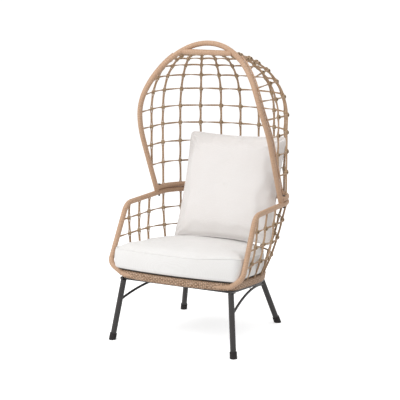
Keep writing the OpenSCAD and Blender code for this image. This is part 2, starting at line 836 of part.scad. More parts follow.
function hood_ring_half(i) =
    let (z = hood_ring_z[i], angle = dome_angle(z), end_z = z - ring_end_drop[i],
         end = hoop_built(end_z) - [end_z < arch_spring_z ? net_step : 0, 0, 0],
         points = [
             for (run = hood_runs)
                 let (p = hood_point(run, angle, z, -net_step))
                 if (norm(p - end) > wrap_d) p
         ])
    concat(points, [stop_short(points[len(points) - 1], end, hoop_built_dir(end_z), wrap_r, ring_r)]);

module hood_ring(i) {
    color(strand_colour)
        swept(both_sides(hood_ring_half(i)), round_section(ring_r, strand_sides), [1, 0, 0]);
}

module hood_ring_1() hood_ring(0);
module hood_ring_2() hood_ring(1);
module hood_ring_3() hood_ring(2);
module hood_ring_4() hood_ring(3);
module hood_ring_5() hood_ring(4);
module hood_ring_6() hood_ring(5);
module hood_ring_7() hood_ring(6);
module hood_ring_8() hood_ring(7);
module hood_ring_9() hood_ring(8);
module hood_ring_10() hood_ring(9);

first_dome_ring = len(side_levels);   // the first level strand above the spring of the dome
dome_stops = concat(
    [90], [for (i = [len(hood_ring_z) - 1 : -1 : first_dome_ring]) dome_angle(hood_ring_z[i])], [0]
);

// Dome angles of an upright strand's points: at each level strand, and halfway between distant ones
dome_angles = [
    for (i = [1 : len(dome_stops) - 1])
        each dome_stops[i - 1] - dome_stops[i] > 10 ? [(dome_stops[i - 1] + dome_stops[i]) / 2, dome_stops[i]]
                                                    : [dome_stops[i]]
];

// An upright strand of the hood from the cross bar down the back
function hood_strand(i) =
    let (run = strand_run(i, hood_side_gap),
         dome = [for (angle = dome_angles) hood_point(run, angle, dome_spring_z, net_step)],
         first = stop_short(dome[0], [i * bar_pitch, bar_y, bar_z], [1, 0, 0], wrap_r, strand_r),
         plan = dome[len(dome) - 1],
         on_hoop = i > back_strands,
         hoop_z = hoop_knee_z - sqrt(pow((plan.y - hoop_knee_y) / hoop_lean, 2) - pow(hoop_soft, 2)),
         end = on_hoop
            ? stop_short(plan, [plan.x, hoop_built(hoop_z).y, hoop_z], hoop_built_dir(hoop_z),
                         wrap_r, strand_r)
            : [plan.x, plan.y, hood_z + wrap_r + fit_gap])
    concat([first], dome, [end]);

module hood_upright(i, side) {
    path = hood_strand(i);
    swept(side > 0 ? path : [for (p = path) mirrored(p)], round_section(strand_r, strand_sides), [0, 0, 1]);
}

module hood_strands_left() {
    color(strand_colour)
        for (i = [2 : back_strands + 1]) hood_upright(i, 1);
}

module hood_strands_back() {
    color(strand_colour) {
        hood_upright(0, 1);
        hood_upright(1, 1);
        hood_upright(1, -1);
    }
}

module hood_strands_right() {
    color(strand_colour)
        for (i = [2 : back_strands + 1]) hood_upright(i, -1);
}

// ---- tub net ----

tub_rows = 3;
tub_bulge = 2.6;          // how quickly the tub widens above the seat
tub_foot_out = 8;         // the net's foot stands this far outside the rim's centre line
arm_strands = 7;

// Point of the tub's surface at a share of the way from the rim band's top to the arm rail, moved out by step
function tub_point(run, f, step) =
    let (a = seat_x + tub_foot_out + (arm_x - seat_x - tub_foot_out) * (1 - pow(1 - f, tub_bulge)) + step,
         turn_y = seat_turn_y + (arm_turn_y - seat_turn_y) * f,
         b = seat_rear_b + tub_foot_out + (arm_rear_b - seat_rear_b - tub_foot_out) * f + step,
         p = outline_point(abs(run) * (tub_taper + (1 - tub_taper) * f), a, turn_y, b),
         low = on_seat(p.x, p.y, band_h / 2).z)
    [sign(run) * p.x, p.y, low + (arm_z - low) * f];

post_top = [arm_x, -arm_corner_y, arm_z];
function post_point(z) = post_top + arm_slope * (z - arm_z) / arm_slope.z;

tub_runs = net_runs(arm_strands, tub_side_gap);

function tub_ring_half(row) =
    let (points = [for (run = tub_runs) tub_point(run, row / (tub_rows + 1), -net_step)],
         last = points[len(points) - 1])
    concat(points, [stop_short(last, post_point(last.z), arm_slope, wrap_r, ring_r)]);

module tub_ring(row) {
    color(strand_colour)
        swept(both_sides(tub_ring_half(row)), round_section(ring_r, strand_sides), [1, 0, 0]);
}

module tub_ring_low() tub_ring(1);
module tub_ring_middle() tub_ring(2);
module tub_ring_high() tub_ring(3);

// Shares of the tub's height where an upright strand has a point: at each level strand, and between low ones
tub_shares = [0.75, 0.5, 0.375, 0.25, 0.125];

// Point of the arm rail's centre line at a running length from the back's middle
function arm_built(run) =
    let (p = outline_point(run, arm_x, arm_turn_y, arm_rear_b))
    [p.x, p.y, lookup(p.y, [for (q = arm_half) if (q.y <= 0) [q.y, q.z]])];

// An upright strand of the tub from the arm rail down to the rim band
function tub_strand(i) =
    let (run = strand_run(i, tub_side_gap),
         points = [for (f = tub_shares) tub_point(run, f, net_step)],
         rail = arm_built(run),
         first = stop_short(points[0], rail, unit(arm_built(run + 1) - rail), wrap_r, strand_r),
         foot = tub_point(run, 0, net_step),
         lean = unit(points[len(points) - 1] - foot))
    concat([first], points, [foot + seat_up * (fit_gap + strand_r * norm(cross(lean, seat_up)))]);

module tub_upright(i, side) {
    path = tub_strand(i);
    swept(side > 0 ? path : [for (p = path) mirrored(p)], round_section(strand_r, strand_sides), [1, 0, 0]);
}

module tub_strands_left() {
    color(strand_colour)
        for (i = [3 : arm_strands]) tub_upright(i, 1);
}

module tub_strands_back() {
    color(strand_colour) {
        tub_upright(0, 1);
        for (i = [1, 2], side = [1, -1]) tub_upright(i, side);
    }
}

module tub_strands_right() {
    color(strand_colour)
        for (i = [3 : arm_strands]) tub_upright(i, -1);
}

// ---- cushions ----

// Levels of the seat cushion: how far in from its edge, as a share, and the height
cushion_levels = [
    [0.97, 0], [0.1, 0.5], [0.06, 9], [0.025, 30], [0.004, 50],
    [0, 0.65 * cushion_h], [0.006, 0.84 * cushion_h], [0.035, cushion_h],
    [0.07, cushion_h + 0.3 * cushion_crown], [0.14, cushion_h + 0.57 * cushion_crown],
    [0.28, cushion_h + 0.8 * cushion_crown], [0.5, cushion_h + 0.94 * cushion_crown],
    [0.97, cushion_h + cushion_crown]
];
cushion_middle_y = -70;
cushion_front_y = 392;    // the cushion's front edge, in front of the middle
cushion_bow_r = 1400;     // radius of that edge
cushion_side_x = 317;     // half the cushion's width between the arms
cushion_rear_b = 335;     // length of its curved rear half
cushion_waist = [[9, -250], [1, -190]];   // extra half width, and place, behind the front corners
cushion_edge = whole_edge(concat(
    front_edge(cushion_x, cushion_front_y, cushion_corner_r, cushion_bow_r),
    [for (p = cushion_waist) [cushion_side_x + p[0], p[1]]],
    [for (t = [90 : -10 : 0]) [cushion_side_x * sin(t), seat_turn_y + cushion_rear_b * cos(t)]]
));

module seat_cushion() {
    m = len(cushion_edge);
    points = [
        for (level = cushion_levels, p = cushion_edge)
            on_seat(p.x * (1 - level[0]), cushion_middle_y + (p.y - cushion_middle_y) * (1 - level[0]),
                    band_h / 2 + fit_gap + level[1])
    ];
    last = (len(cushion_levels) - 1) * m;
    caps = [for (j = [1 : m - 2]) each [[0, j, j + 1], [last, last + j + 1, last + j]]];
    color(cloth)
        polyhedron(points, concat(wall_faces(len(cushion_levels), m, 0, false, false), caps), convexity = 4);
}

pillow_cells = 16;        // cells across the pillow's cloth in each direction
pillow_pull = 0.05;       // how far the pillow's sides are drawn in between its corners
pillow_fill = 0.42;       // how round its faces are

// Front or back face of the pillow, with u and v from -1 to 1
function pillow_face(u, v, side) = [
    u * pillow_w / 2 * (1 - pillow_pull * (1 - v * v)),
    side * pillow_t / 2 * pow(max((1 - pow(u, 4)) * (1 - pow(v, 4)), 0), pillow_fill),
    pillow_h / 2 + v * pillow_h / 2 * (1 - pillow_pull * (1 - u * u))
];

// Spacing that is closer near the edges
function pillow_share(i) = sin(-90 + 180 * i / pillow_cells);

pillow_sink = 6.9;       // how far the pillow's corners hang below the cushion's crown
pillow_bottom_z = on_seat(0, pillow_y, band_h / 2 + cushion_h + cushion_crown).z - pillow_sink;

module back_pillow() {
    n = pillow_cells;
    row = n + 1;
    front = [for (i = [0 : n], j = [0 : n]) pillow_face(pillow_share(i), pillow_share(j), -1)];
    inner = [for (i = [1 : n - 1], j = [1 : n - 1]) pillow_face(pillow_share(i), pillow_share(j), 1)];
    faces = [
        for (i = [0 : n - 1], j = [0 : n - 1])
            let (a = i * row + j, b = a + row, c = b + 1, d = a + 1,
                 ab = pillow_back_index(i, j, n), bb = pillow_back_index(i + 1, j, n),
                 cb = pillow_back_index(i + 1, j + 1, n), db = pillow_back_index(i, j + 1, n))
            each (i < n / 2) == (j < n / 2)
                ? [[a, c, b], [a, d, c], [ab, bb, cb], [ab, cb, db]]
                : [[a, d, b], [b, d, c], [ab, bb, db], [bb, cb, db]]
    ];
    color(cloth)
        translate([pillow_x, pillow_y, pillow_bottom_z])
            rotate([0, 0, -pillow_turn])
                rotate([-pillow_lean, -pillow_tip, 0])
                    polyhedron(concat(front, inner), faces, convexity = 4);
}

// Index of a point of the pillow's back face, whose edge is shared with the front face
function pillow_back_index(i, j, n) = (i == 0 || j == 0 || i == n || j == n)
    ? i * (n + 1) + j
    : (n + 1) * (n + 1) + (i - 1) * (n - 1) + j - 1;

leg_front_left();
leg_front_right();
leg_rear_left();
leg_rear_right();
foot_front_left();
foot_front_right();
foot_rear_left();
foot_rear_right();
side_rail_left();
side_rail_right();
front_cross_bar();
rear_cross_bar();
side_brace_left();
side_brace_right();
seat_bolts();
seat_rim_tube();
seat_rim_weave();
seat_support_bars();
seat_straps();
arm_rail_tube();
arm_rail_wrap();
tub_strands_left();
tub_strands_back();
tub_strands_right();
tub_ring_low();
tub_ring_middle();
tub_ring_high();
hood_rail_tube();
hood_rail_wrap();
hood_hoop_tube();
hood_hoop_wrap();
hood_edge_cords();
hood_bar_tube();
hood_bar_wrap();
hood_strands_left();
hood_strands_back();
hood_strands_right();
hood_ring_1();
hood_ring_2();
hood_ring_3();
hood_ring_4();
hood_ring_5();
hood_ring_6();
hood_ring_7();
hood_ring_8();
hood_ring_9();
hood_ring_10();
hood_bolts();
hood_nuts();
seat_cushion();
back_pillow();
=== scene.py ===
import math

import bmesh
import bpy
import numpy as np
from mathutils import Matrix, Vector, noise


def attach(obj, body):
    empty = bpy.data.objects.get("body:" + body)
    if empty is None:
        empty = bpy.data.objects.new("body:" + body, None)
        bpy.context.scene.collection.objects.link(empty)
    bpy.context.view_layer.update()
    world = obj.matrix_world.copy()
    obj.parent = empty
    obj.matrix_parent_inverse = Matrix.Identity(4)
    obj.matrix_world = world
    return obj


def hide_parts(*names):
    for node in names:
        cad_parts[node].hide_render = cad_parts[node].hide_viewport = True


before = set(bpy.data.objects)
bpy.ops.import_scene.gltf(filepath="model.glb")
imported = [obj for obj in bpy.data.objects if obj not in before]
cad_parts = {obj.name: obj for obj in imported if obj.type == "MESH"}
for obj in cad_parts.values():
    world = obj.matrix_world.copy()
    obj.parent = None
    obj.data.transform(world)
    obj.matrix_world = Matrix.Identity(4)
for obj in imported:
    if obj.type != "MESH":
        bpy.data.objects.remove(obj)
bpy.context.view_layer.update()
scene = bpy.context.scene

# sizes of the frame and the net, in metres and degrees
chair = {
    "fit": 0.0003, "seatZ": 0.334, "seatTilt": 5, "seatTurnY": -0.095, "bandH": 0.035, "bandW": 0.030,
    "tubeR": 0.013, "armZ": 0.645, "armX": 0.350, "armTurnY": 0.144, "armRearB": 0.236,
    "armCornerY": 0.186, "armBendR": 0.070, "postKnee": (0.357, -0.338, 0.376), "postLand": 45,
    "kneeBendR": 0.046, "springZ": 0.945, "hoopTopZ": 1.428, "hoopFootX": 0.347, "kneeZ": 1.145,
    "kneeY": -0.122, "hoopLean": 0.48, "hoopSoft": 0.080, "barZ": 1.385, "domeZ": 1.055,
    "domeFullness": 0.93, "railReach": 0.004, "barInset": 0.012, "pathStep": 0.006,
}
chair["hoodZ"] = chair["armZ"] + 2 * chair["tubeR"] + chair["fit"]
seatRim = {"x": 0.303, "sideX": 0.303, "frontY": 0.377, "cornerR": 0.075, "bowR": 1.0, "rearB": 0.375,
           "steps": (12, 14, 40), "sideSteps": 8}

net = {
    "pitch": 0.107, "hoodSideGap": 0.112, "tubSideGap": 0.138, "armPitch": 0.102, "taper": 0.84,
    "backStrands": 4, "hoodStrands": 5, "tubStrands": 7, "barPitch": 0.013,
    "hoodLevels": [0.795, 0.899, 0.993, 1.081, 1.169, 1.242, 1.296, 1.333, 1.354, 1.371],
    "endDrop": [0, 0, 0, 0, 0, 0.014, 0.024, 0.026, 0.022, 0.018],
    "tubRows": 3, "tubBulge": 2.6, "tubFootOut": 0.008,
    "uprightStep": -0.0020,      # uprights run a little inside the net's surface, levels outside
    "levelStep": 0.0024,
    "probe": 0.01,               # step to either side that gives the outward direction
    "wander": 0.0018,            # how far a crossing strays from its place
    "bow": 0.0030,               # how far an upright bows outward between crossings
    "seed": 11,
}


def unit(v):
    v = np.asarray(v, float)
    return v / np.linalg.norm(v)


def onSeat(x, y, z):         # a point of the tipped seat, z above the rim's centre
    tilt = math.radians(chair["seatTilt"])
    back = y + seatRim["frontY"]
    return np.array([
        x,
        -seatRim["frontY"] + back * math.cos(tilt) + z * math.sin(tilt),
        chair["seatZ"] - back * math.sin(tilt) + z * math.cos(tilt),
    ])


def outlinePoint(run, a, turnY, b):      # straight sides and a half-ellipse behind
    angles = np.linspace(0, math.pi / 2, 91)
    steps = np.hypot(np.diff(a * np.sin(angles)), np.diff(b * np.cos(angles)))
    runs = np.concatenate([[0], np.cumsum(steps)])
    angle = np.interp(run, runs, angles)
    return a * math.sin(angle), turnY + b * math.cos(angle) - max(run - runs[-1], 0)


def bend(a, v, b, r, steps):             # a round bend at the corner v
    a, v, b = (np.asarray(p, float) for p in (a, v, b))
    u, w = unit(a - v), unit(b - v)
    turn = math.pi - math.acos(float(u @ w))
    centre = v + unit(u + w) * r / math.cos(turn / 2)
    start = unit(v + u * r * math.tan(turn / 2) - centre)
    end = v + w * r * math.tan(turn / 2) - centre
    side = unit(end - (end @ start) * start)
    angles = np.linspace(0, turn, steps + 1)
    return [centre + r * (math.cos(t) * start + math.sin(t) * side) for t in angles]


def mirrored(points):
    return [np.array([-p[0], p[1], p[2]]) for p in points]


def bothSides(half):                     # half starts on the middle plane
    return mirrored(half[:0:-1]) + list(half)


def densified(points, step):             # evenly spaced points along a polyline
    points = np.asarray(points, float)
    lengths = np.concatenate([[0], np.cumsum(np.linalg.norm(np.diff(points, axis=0), axis=1))])
    count = max(int(round(lengths[-1] / step)), 2)
    at = np.linspace(0, lengths[-1], count + 1)
    return np.stack([np.interp(at, lengths, points[:, k]) for k in range(3)], axis=1), at


# centre lines

def seatCorner(edge):        # centre of an edge's round front corner
    bow, r = edge["bowR"], edge["cornerR"]
    return np.array([edge["x"] - r, bow - edge["frontY"] - math.sqrt((bow - r) ** 2 - (edge["x"] - r) ** 2)])


def seatEdge(edge, waist):   # plan of a seat edge, starting at the front's middle
    bow, r = edge["bowR"], edge["cornerR"]
    corner = seatCorner(edge)
    lean = math.asin(corner[0] / (bow - r))
    frontSteps, cornerSteps, rearSteps = edge["steps"]
    half = [(bow * math.sin(t), bow - edge["frontY"] - bow * math.cos(t))
            for t in np.linspace(0, lean, frontSteps)[:-1]]
    half += [(corner[0] + r * math.sin(t), corner[1] - r * math.cos(t))
             for t in np.linspace(lean, math.pi / 2, cornerSteps)]
    half += [(edge["sideX"] + out, y) for out, y in waist]
    half += [(edge["sideX"] * math.sin(t), chair["seatTurnY"] + edge["rearB"] * math.cos(t))
             for t in np.linspace(math.pi / 2, 0, rearSteps)]
    return half + [(-x, y) for x, y in half[-2:0:-1]]


def rimPath():
    sideY = np.linspace(seatCorner(seatRim)[1], chair["seatTurnY"], seatRim["sideSteps"])[1:-1]
    return [onSeat(x, y, 0) for x, y in seatEdge(seatRim, [(0, y) for y in sideY])]


def backArc(z):              # the arm rail's plan, from the back's middle round to the side
    return [np.array([chair["armX"] * math.sin(t), chair["armTurnY"] + chair["armRearB"] * math.cos(t), z])
            for t in np.radians(np.arange(0, 91, 3))]


armEnd = {"inner": 0.004, "drop": 0.001, "angles": (30, 17), "places": (0.200, 0.170, 0.140)}


def armPath(reach):          # arm rail and posts; reach carries on into the rim band
    corner = seatCorner(seatRim)
    land = math.radians(chair["postLand"])
    out = seatRim["cornerR"] + chair["bandW"] / 2 + chair["fit"]
    foot = onSeat(corner[0] + out * math.sin(land), corner[1] - out * math.cos(land), 0)
    knee = np.array(chair["postKnee"])
    top = np.array([chair["armX"], -chair["armCornerY"], chair["armZ"]])
    half = backArc(chair["armZ"])
    half += bend((chair["armX"], 0, chair["armZ"]), top, knee, chair["armBendR"], 14)
    half += bend(top, knee, foot, chair["kneeBendR"], 12)
    half.append(foot)
    if reach:                # bends round the corner and sinks into the front of the band
        inner, bow = seatRim["cornerR"] + armEnd["inner"], seatRim["bowR"]
        half += [onSeat(corner[0] + inner * math.sin(t), corner[1] - inner * math.cos(t), -armEnd["drop"])
                 for t in map(math.radians, armEnd["angles"])]
        half += [onSeat(x, bow - seatRim["frontY"] - math.sqrt(bow ** 2 - x * x), -armEnd["drop"])
                 for x in armEnd["places"]]
    return bothSides(half)


def hoopY(z):
    return chair["kneeY"] + chair["hoopLean"] * math.sqrt((z - chair["kneeZ"]) ** 2 + chair["hoopSoft"] ** 2)


def hoopPoint(z):
    up = (z - chair["springZ"]) / (chair["hoopTopZ"] - chair["springZ"])
    if up > 0:
        x = chair["armX"] * math.sqrt(max(1 - up * up, 0))
    else:
        share = (z - chair["hoodZ"]) / (chair["springZ"] - chair["hoodZ"])
        x = chair["hoopFootX"] + (chair["armX"] - chair["hoopFootX"]) * share
    return np.array([x, hoopY(z), z])


def hoopHalf():
    arch = []
    for t in np.radians(np.arange(90, 0, -3)):
        z = chair["springZ"] + (chair["hoopTopZ"] - chair["springZ"]) * math.sin(t)
        arch.append(np.array([chair["armX"] * math.cos(t), hoopY(z), z]))
    footZ = chair["armZ"] + chair["tubeR"] + chair["fit"]
    return arch + [hoopPoint(z) for z in np.linspace(chair["springZ"], footZ, 14)]


def hoodRailPath():
    z = chair["hoodZ"]
    return bothSides(backArc(z) + [np.array([chair["armX"], hoopY(z) + chair["railReach"], z])])


def barPath():
    reach = hoopPoint(chair["barZ"])[0] - chair["barInset"]
    y = hoopY(chair["barZ"])
    return [np.array([x, y, chair["barZ"]]) for x in np.linspace(-reach, reach, 9)]


# the net's two surfaces

def strandRun(i, sideGap):
    if i <= net["backStrands"]:
        return i * net["pitch"]
    return net["backStrands"] * net["pitch"] + net[sideGap] + (i - net["backStrands"] - 1) * net["armPitch"]


def domeAngle(z):
    if z <= chair["domeZ"]:
        return 0.0
    return math.asin(((z - chair["domeZ"]) / (chair["barZ"] - chair["domeZ"])) ** (1 / chair["domeFullness"]))


def hoodPoint(run, angle, z, step):      # z is free below the dome
    x, y = outlinePoint(abs(run), chair["armX"] + step, chair["armTurnY"], chair["armRearB"] + step)
    plan = max(math.cos(angle), 0) ** chair["domeFullness"]
    rise = max(math.sin(angle), 0) ** chair["domeFullness"]
    backY = hoopY(chair["barZ"]) + chair["tubeR"]
    endX = abs(run) / net["pitch"] * net["barPitch"]
    x = endX + (x - endX) * plan
    if angle > 0:
        z = chair["domeZ"] + (chair["barZ"] - chair["domeZ"]) * rise + step * math.sin(angle)
    return np.array([math.copysign(x, run) if run else 0.0, backY + (y - backY) * plan, z])


def tubPoint(run, f, step):              # f goes from the rim band's top, 0, to the arm rail, 1
    seatX, seatRearB = seatRim["sideX"] + net["tubFootOut"], seatRim["rearB"] + net["tubFootOut"]
    a = seatX + (chair["armX"] - seatX) * (1 - (1 - f) ** net["tubBulge"]) + step
    turnY = chair["seatTurnY"] + (chair["armTurnY"] - chair["seatTurnY"]) * f
    b = seatRearB + (chair["armRearB"] - seatRearB) * f + step
    x, y = outlinePoint(abs(run) * (net["taper"] + (1 - net["taper"]) * f), a, turnY, b)
    low = onSeat(x, y, chair["bandH"] / 2)[2]
    return np.array([math.copysign(x, run) if run else 0.0, y, low + (chair["armZ"] - low) * f])


def outward(surface):        # outward direction of a net surface, by a small step each way
    return unit(surface(net["probe"]) - surface(-net["probe"]) + (0, 0, 1e-9))


# node building

def startTree(kind, name, inputs, outputs=("Geometry",)):
    # an input is given by its default number, or by its kind of socket where it has no default
    tree = bpy.data.node_groups.new(name, kind + "NodeTree")
    if kind == "Geometry":
        inputs = {"Geometry": "Geometry", **inputs}
    for label, value in inputs.items():
        plain = not isinstance(value, str)
        socketKind = {int: "Int", float: "Float"}[type(value)] if plain else value
        socket = tree.interface.new_socket(label, in_out="INPUT", socket_type="NodeSocket" + socketKind)
        if plain:
            socket.default_value = value
    madeKind = "Geometry" if kind == "Geometry" else "Float"
    for label in outputs:
        tree.interface.new_socket(label, in_out="OUTPUT", socket_type="NodeSocket" + madeKind)
    return tree, tree.nodes.new("NodeGroupInput").outputs, tree.nodes.new("NodeGroupOutput").inputs


def put(tree, kind, inputs=None, **settings):
    node = tree.nodes.new(kind)
    for key, value in settings.items():
        setattr(node, key, value)
    for key, value in (inputs or {}).items():
        if isinstance(value, bpy.types.NodeSocket):
            tree.links.new(value, node.inputs[key])
        else:
            node.inputs[key].default_value = value
    return node


def calc(tree, operation, *values):
    return put(tree, "ShaderNodeMath", dict(enumerate(values)), operation=operation).outputs[0]


def vectorCalc(tree, operation, *values, **named):
    inputs = {**dict(enumerate(values)), **named}
    return put(tree, "ShaderNodeVectorMath", inputs, operation=operation).outputs[0]


def storeValue(tree, geometry, name, value, kind="FLOAT"):
    return put(tree, "GeometryNodeStoreNamedAttribute", {"Geometry": geometry, "Name": name, "Value": value},
               data_type=kind, domain="POINT").outputs[0]


def readValue(tree, name, kind="FLOAT"):
    return put(tree, "GeometryNodeInputNamedAttribute", {"Name": name}, data_type=kind).outputs[0]


def finishTree(tree, geometry, material, output):
    smooth = put(tree, "GeometryNodeSetShadeSmooth", {"Geometry": geometry, "Shade Smooth": True})
    real = put(tree, "GeometryNodeRealizeInstances", {"Geometry": smooth.outputs[0]})
    dressed = put(tree, "GeometryNodeSetMaterial", {"Geometry": real.outputs[0], "Material": material})
    tree.links.new(dressed.outputs[0], output)


def raised(tree, skin, height):          # moves a skin's points along its normals
    offset = vectorCalc(tree, "SCALE", put(tree, "GeometryNodeInputNormal").outputs[0], Scale=height)
    return put(tree, "GeometryNodeSetPosition", {"Geometry": skin, "Offset": offset}).outputs[0]


def pathObject(name, paths, closed=False, **attributes):
    points, edges = [], []
    for path in paths:
        first = len(points)
        points += [tuple(p) for p in path]
        edges += [(k, k + 1) for k in range(first, len(points) - 1)]
        if closed:
            edges.append((len(points) - 1, first))
    mesh = bpy.data.meshes.new(name)
    mesh.from_pydata(points, edges, [])
    for label, values in attributes.items():
        values = np.concatenate([np.asarray(v, float) for v in values])
        kind = "FLOAT_VECTOR" if values.ndim == 2 else "FLOAT"
        layer = mesh.attributes.new(label, kind, "POINT")
        layer.data.foreach_set("vector" if values.ndim == 2 else "value", values.ravel())
    shape = bpy.data.objects.new(name, mesh)
    scene.collection.objects.link(shape)
    return shape


def grown(name, source, tree, **inputs):    # runs a tree on an object and keeps the result as a plain mesh
    modifier = source.modifiers.new("shape", "NODES")
    modifier.node_group = tree
    labels = {item.name: item.identifier for item in tree.interface.items_tree if item.in_out == "INPUT"}
    for label, value in inputs.items():
        modifier[labels[label]] = value
    graph = bpy.context.evaluated_depsgraph_get()
    mesh = bpy.data.meshes.new_from_object(source.evaluated_get(graph))
    piece = bpy.data.objects.new(name, mesh)
    scene.collection.objects.link(piece)
    bpy.data.objects.remove(source)
    return piece


def meshPiece(name, points, faces, material, smooth=True):
    mesh = bpy.data.meshes.new(name)
    mesh.from_pydata([tuple(p) for p in points], [], faces)
    mesh.update()
    for face in mesh.polygons:
        face.use_smooth = smooth
    mesh.materials.append(material)
    piece = bpy.data.objects.new(name, mesh)
    scene.collection.objects.link(piece)
    return piece


def settle(piece, body, slot, *nodes):
    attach(piece, body)
    if nodes:
        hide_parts(*nodes)
    print("placed", piece.name, len(piece.data.polygons))
    return piece


# shared surface effects

def windRidge(tree, along, place, strip, edge):      # height and place across a strip wound round a tube
    parts = put(tree, "ShaderNodeSeparateXYZ", {0: place})
    turn = calc(tree, "DIVIDE", calc(tree, "ARCTAN2", parts.outputs[1], parts.outputs[0]), 2 * math.pi)
    across = calc(tree, "FRACT", calc(tree, "ADD", calc(tree, "DIVIDE", along, strip), turn))
    fold = calc(tree, "ABSOLUTE", calc(tree, "MULTIPLY_ADD", across, 2.0, -1.0))
    return calc(tree, "SUBTRACT", 1.0, calc(tree, "POWER", fold, edge)), across


def windingGroup():      # where a point lies across the wound strip
    tree, given, made = startTree("Shader", "winding", {
        "Along": 0.0, "Round": "Vector", "Strip": 0.006, "Edge": 6.0}, ("Ridge", "Across"))
    ridge, across = windRidge(tree, given["Along"], given["Round"], given["Strip"], given["Edge"])
    tree.links.new(ridge, made["Ridge"])
    tree.links.new(across, made["Across"])
    return tree


def noiseValue(tree, place, scale, detail, **more):
    settings = {"noise_dimensions": "4D"} if "W" in more else {}
    return put(tree, "ShaderNodeTexNoise", {"Vector": place, "Scale": scale, "Detail": detail, **more},
               **settings).outputs[0]


def grainGroup():        # soft blotches and fine grain, from 0 to 1
    tree, given, made = startTree("Shader", "grain", {
        "Vector": "Vector", "Blotch": 12.0, "Grain": 260.0}, ("Blotches", "Fine"))
    tree.links.new(noiseValue(tree, given["Vector"], given["Blotch"], 4.0, Roughness=0.6), made["Blotches"])
    tree.links.new(noiseValue(tree, given["Vector"], given["Grain"], 3.0), made["Fine"])
    return tree


def clothGroup():        # a plain weave in every direction
    tree, given, made = startTree("Shader", "plainWeave", {
        "Vector": "Vector", "Pitch": 0.0016}, ("Thread", "Slub"))
    scaled = vectorCalc(tree, "SCALE", given["Vector"], Scale=calc(tree, "DIVIDE", math.pi, given["Pitch"]))
    parts = put(tree, "ShaderNodeSeparateXYZ", {0: scaled})
    waves = [calc(tree, "SINE", parts.outputs[k]) for k in range(3)]
    pairs = [calc(tree, "MULTIPLY", waves[a], waves[b]) for a, b in ((0, 1), (1, 2), (2, 0))]
    total = calc(tree, "ADD", calc(tree, "ADD", pairs[0], pairs[1]), pairs[2])
    tree.links.new(calc(tree, "MULTIPLY_ADD", total, 0.33, 0.5), made["Thread"])
    stretched = vectorCalc(tree, "MULTIPLY", given["Vector"], (1.0, 14.0, 5.0))
    tree.links.new(noiseValue(tree, stretched, 40.0, 3.0), made["Slub"])
    return tree


winding, grain, clothWeave = windingGroup(), grainGroup(), clothGroup()


def newMaterial(name, **plain):
    material = bpy.data.materials.new(name)
    material.use_nodes = True
    shader = material.node_tree.nodes["Principled BSDF"]
    for label, value in plain.items():
        shader.inputs[label.replace("_", " ")].default_value = value
    return material, material.node_tree, shader


def objectPlace(tree):
    return put(tree, "ShaderNodeTexCoord").outputs["Object"]


def placed(tree, group, **inputs):
    return put(tree, "ShaderNodeGroup", inputs, node_tree=group).outputs


def readFac(tree, name, output="Fac"):
    return put(tree, "ShaderNodeAttribute", attribute_name=name).outputs[output]


def blendColor(tree, mask, a, b):
    a, b = ((*color, 1) if isinstance(color, tuple) else color for color in (a, b))
    return put(tree, "ShaderNodeMix", {0: mask, 6: a, 7: b}, data_type="RGBA").outputs[2]


def ranged(tree, value, low, high, toLow=0.0, toHigh=1.0):
    return put(tree, "ShaderNodeMapRange", {0: value, 1: low, 2: high, 3: toLow, 4: toHigh}).outputs[0]


def finished(tree, shader, color, rough, height, distance, strength):
    bump = put(tree, "ShaderNodeBump", {"Height": height, "Distance": distance, "Strength": strength})
    for label, value in (("Base Color", color), ("Roughness", rough), ("Normal", bump.outputs[0])):
        if value is not None:
            tree.links.new(value, shader.inputs[label])


# what each kind of material has in common: shine, scales of its noise and strength of its relief
surfaces = {
    "wicker": {"shine": 0.42, "edge": 5.0, "blotch": 9.0, "grain": 420.0, "tone": 45.0, "streak": 28.0,
               "bump": 0.8},
    "band": {"rough": 0.55, "shine": 0.38, "blotch": 120.0, "grain": 420.0, "bump": 0.6},
    "paint": {"shine": 0.5, "blotch": 14.0, "bump": 0.5},
    "cloth": {"rough": 0.92, "shine": 0.2, "sheen": 0.25, "sheenRough": 0.6, "blotch": 6.0, "grain": 700.0,
              "bump": 0.55},
}


def wickerMaterial(name, look):
    kind = surfaces["wicker"]
    material, tree, shader = newMaterial(name, Roughness=look["rough"], Specular_IOR_Level=kind["shine"])
    here, along, rough = objectPlace(tree), readFac(tree, "along"), look["rough"]
    wound = placed(tree, winding, Along=along, Round=readFac(tree, "round", "Vector"), Strip=look["strip"],
                   Edge=kind["edge"])
    spots = placed(tree, grain, Vector=here, Blotch=kind["blotch"], Grain=kind["grain"])
    tone = put(tree, "ShaderNodeTexNoise", {"W": calc(tree, "MULTIPLY", along, kind["tone"]), "Detail": 2.0},
               noise_dimensions="1D").outputs[0]
    streak = noiseValue(tree, here, kind["streak"], 2.0, W=calc(tree, "MULTIPLY", wound["Across"], 5.0))
    color = blendColor(tree, ranged(tree, spots["Blotches"], 0.35, 0.65), look["light"], look["warm"])
    color = blendColor(tree, ranged(tree, tone, 0.38, 0.68, 0.0, 0.75), color, look["deep"])
    color = blendColor(tree, ranged(tree, streak, 0.40, 0.75, 0.0, 0.5), color, look["gold"])
    # painted shade: the grooves between the wound strips are darkened towards the gap colour, as strongly as
    # gapShade says
    recessShade = ranged(tree, wound["Ridge"], 0.0, 0.55, look["gapShade"], 0.0)
    color = blendColor(tree, recessShade, color, look["gap"])
    rough = ranged(tree, spots["Fine"], 0.3, 0.7, rough - 0.07, rough + 0.1)
    height = calc(tree, "MULTIPLY", streak, 0.35)
    height = calc(tree, "ADD", height, calc(tree, "MULTIPLY", wound["Ridge"], 0.9))
    height = calc(tree, "ADD", height, calc(tree, "MULTIPLY", spots["Fine"], 0.12))
    finished(tree, shader, color, rough, height, look["relief"], kind["bump"])
    return material


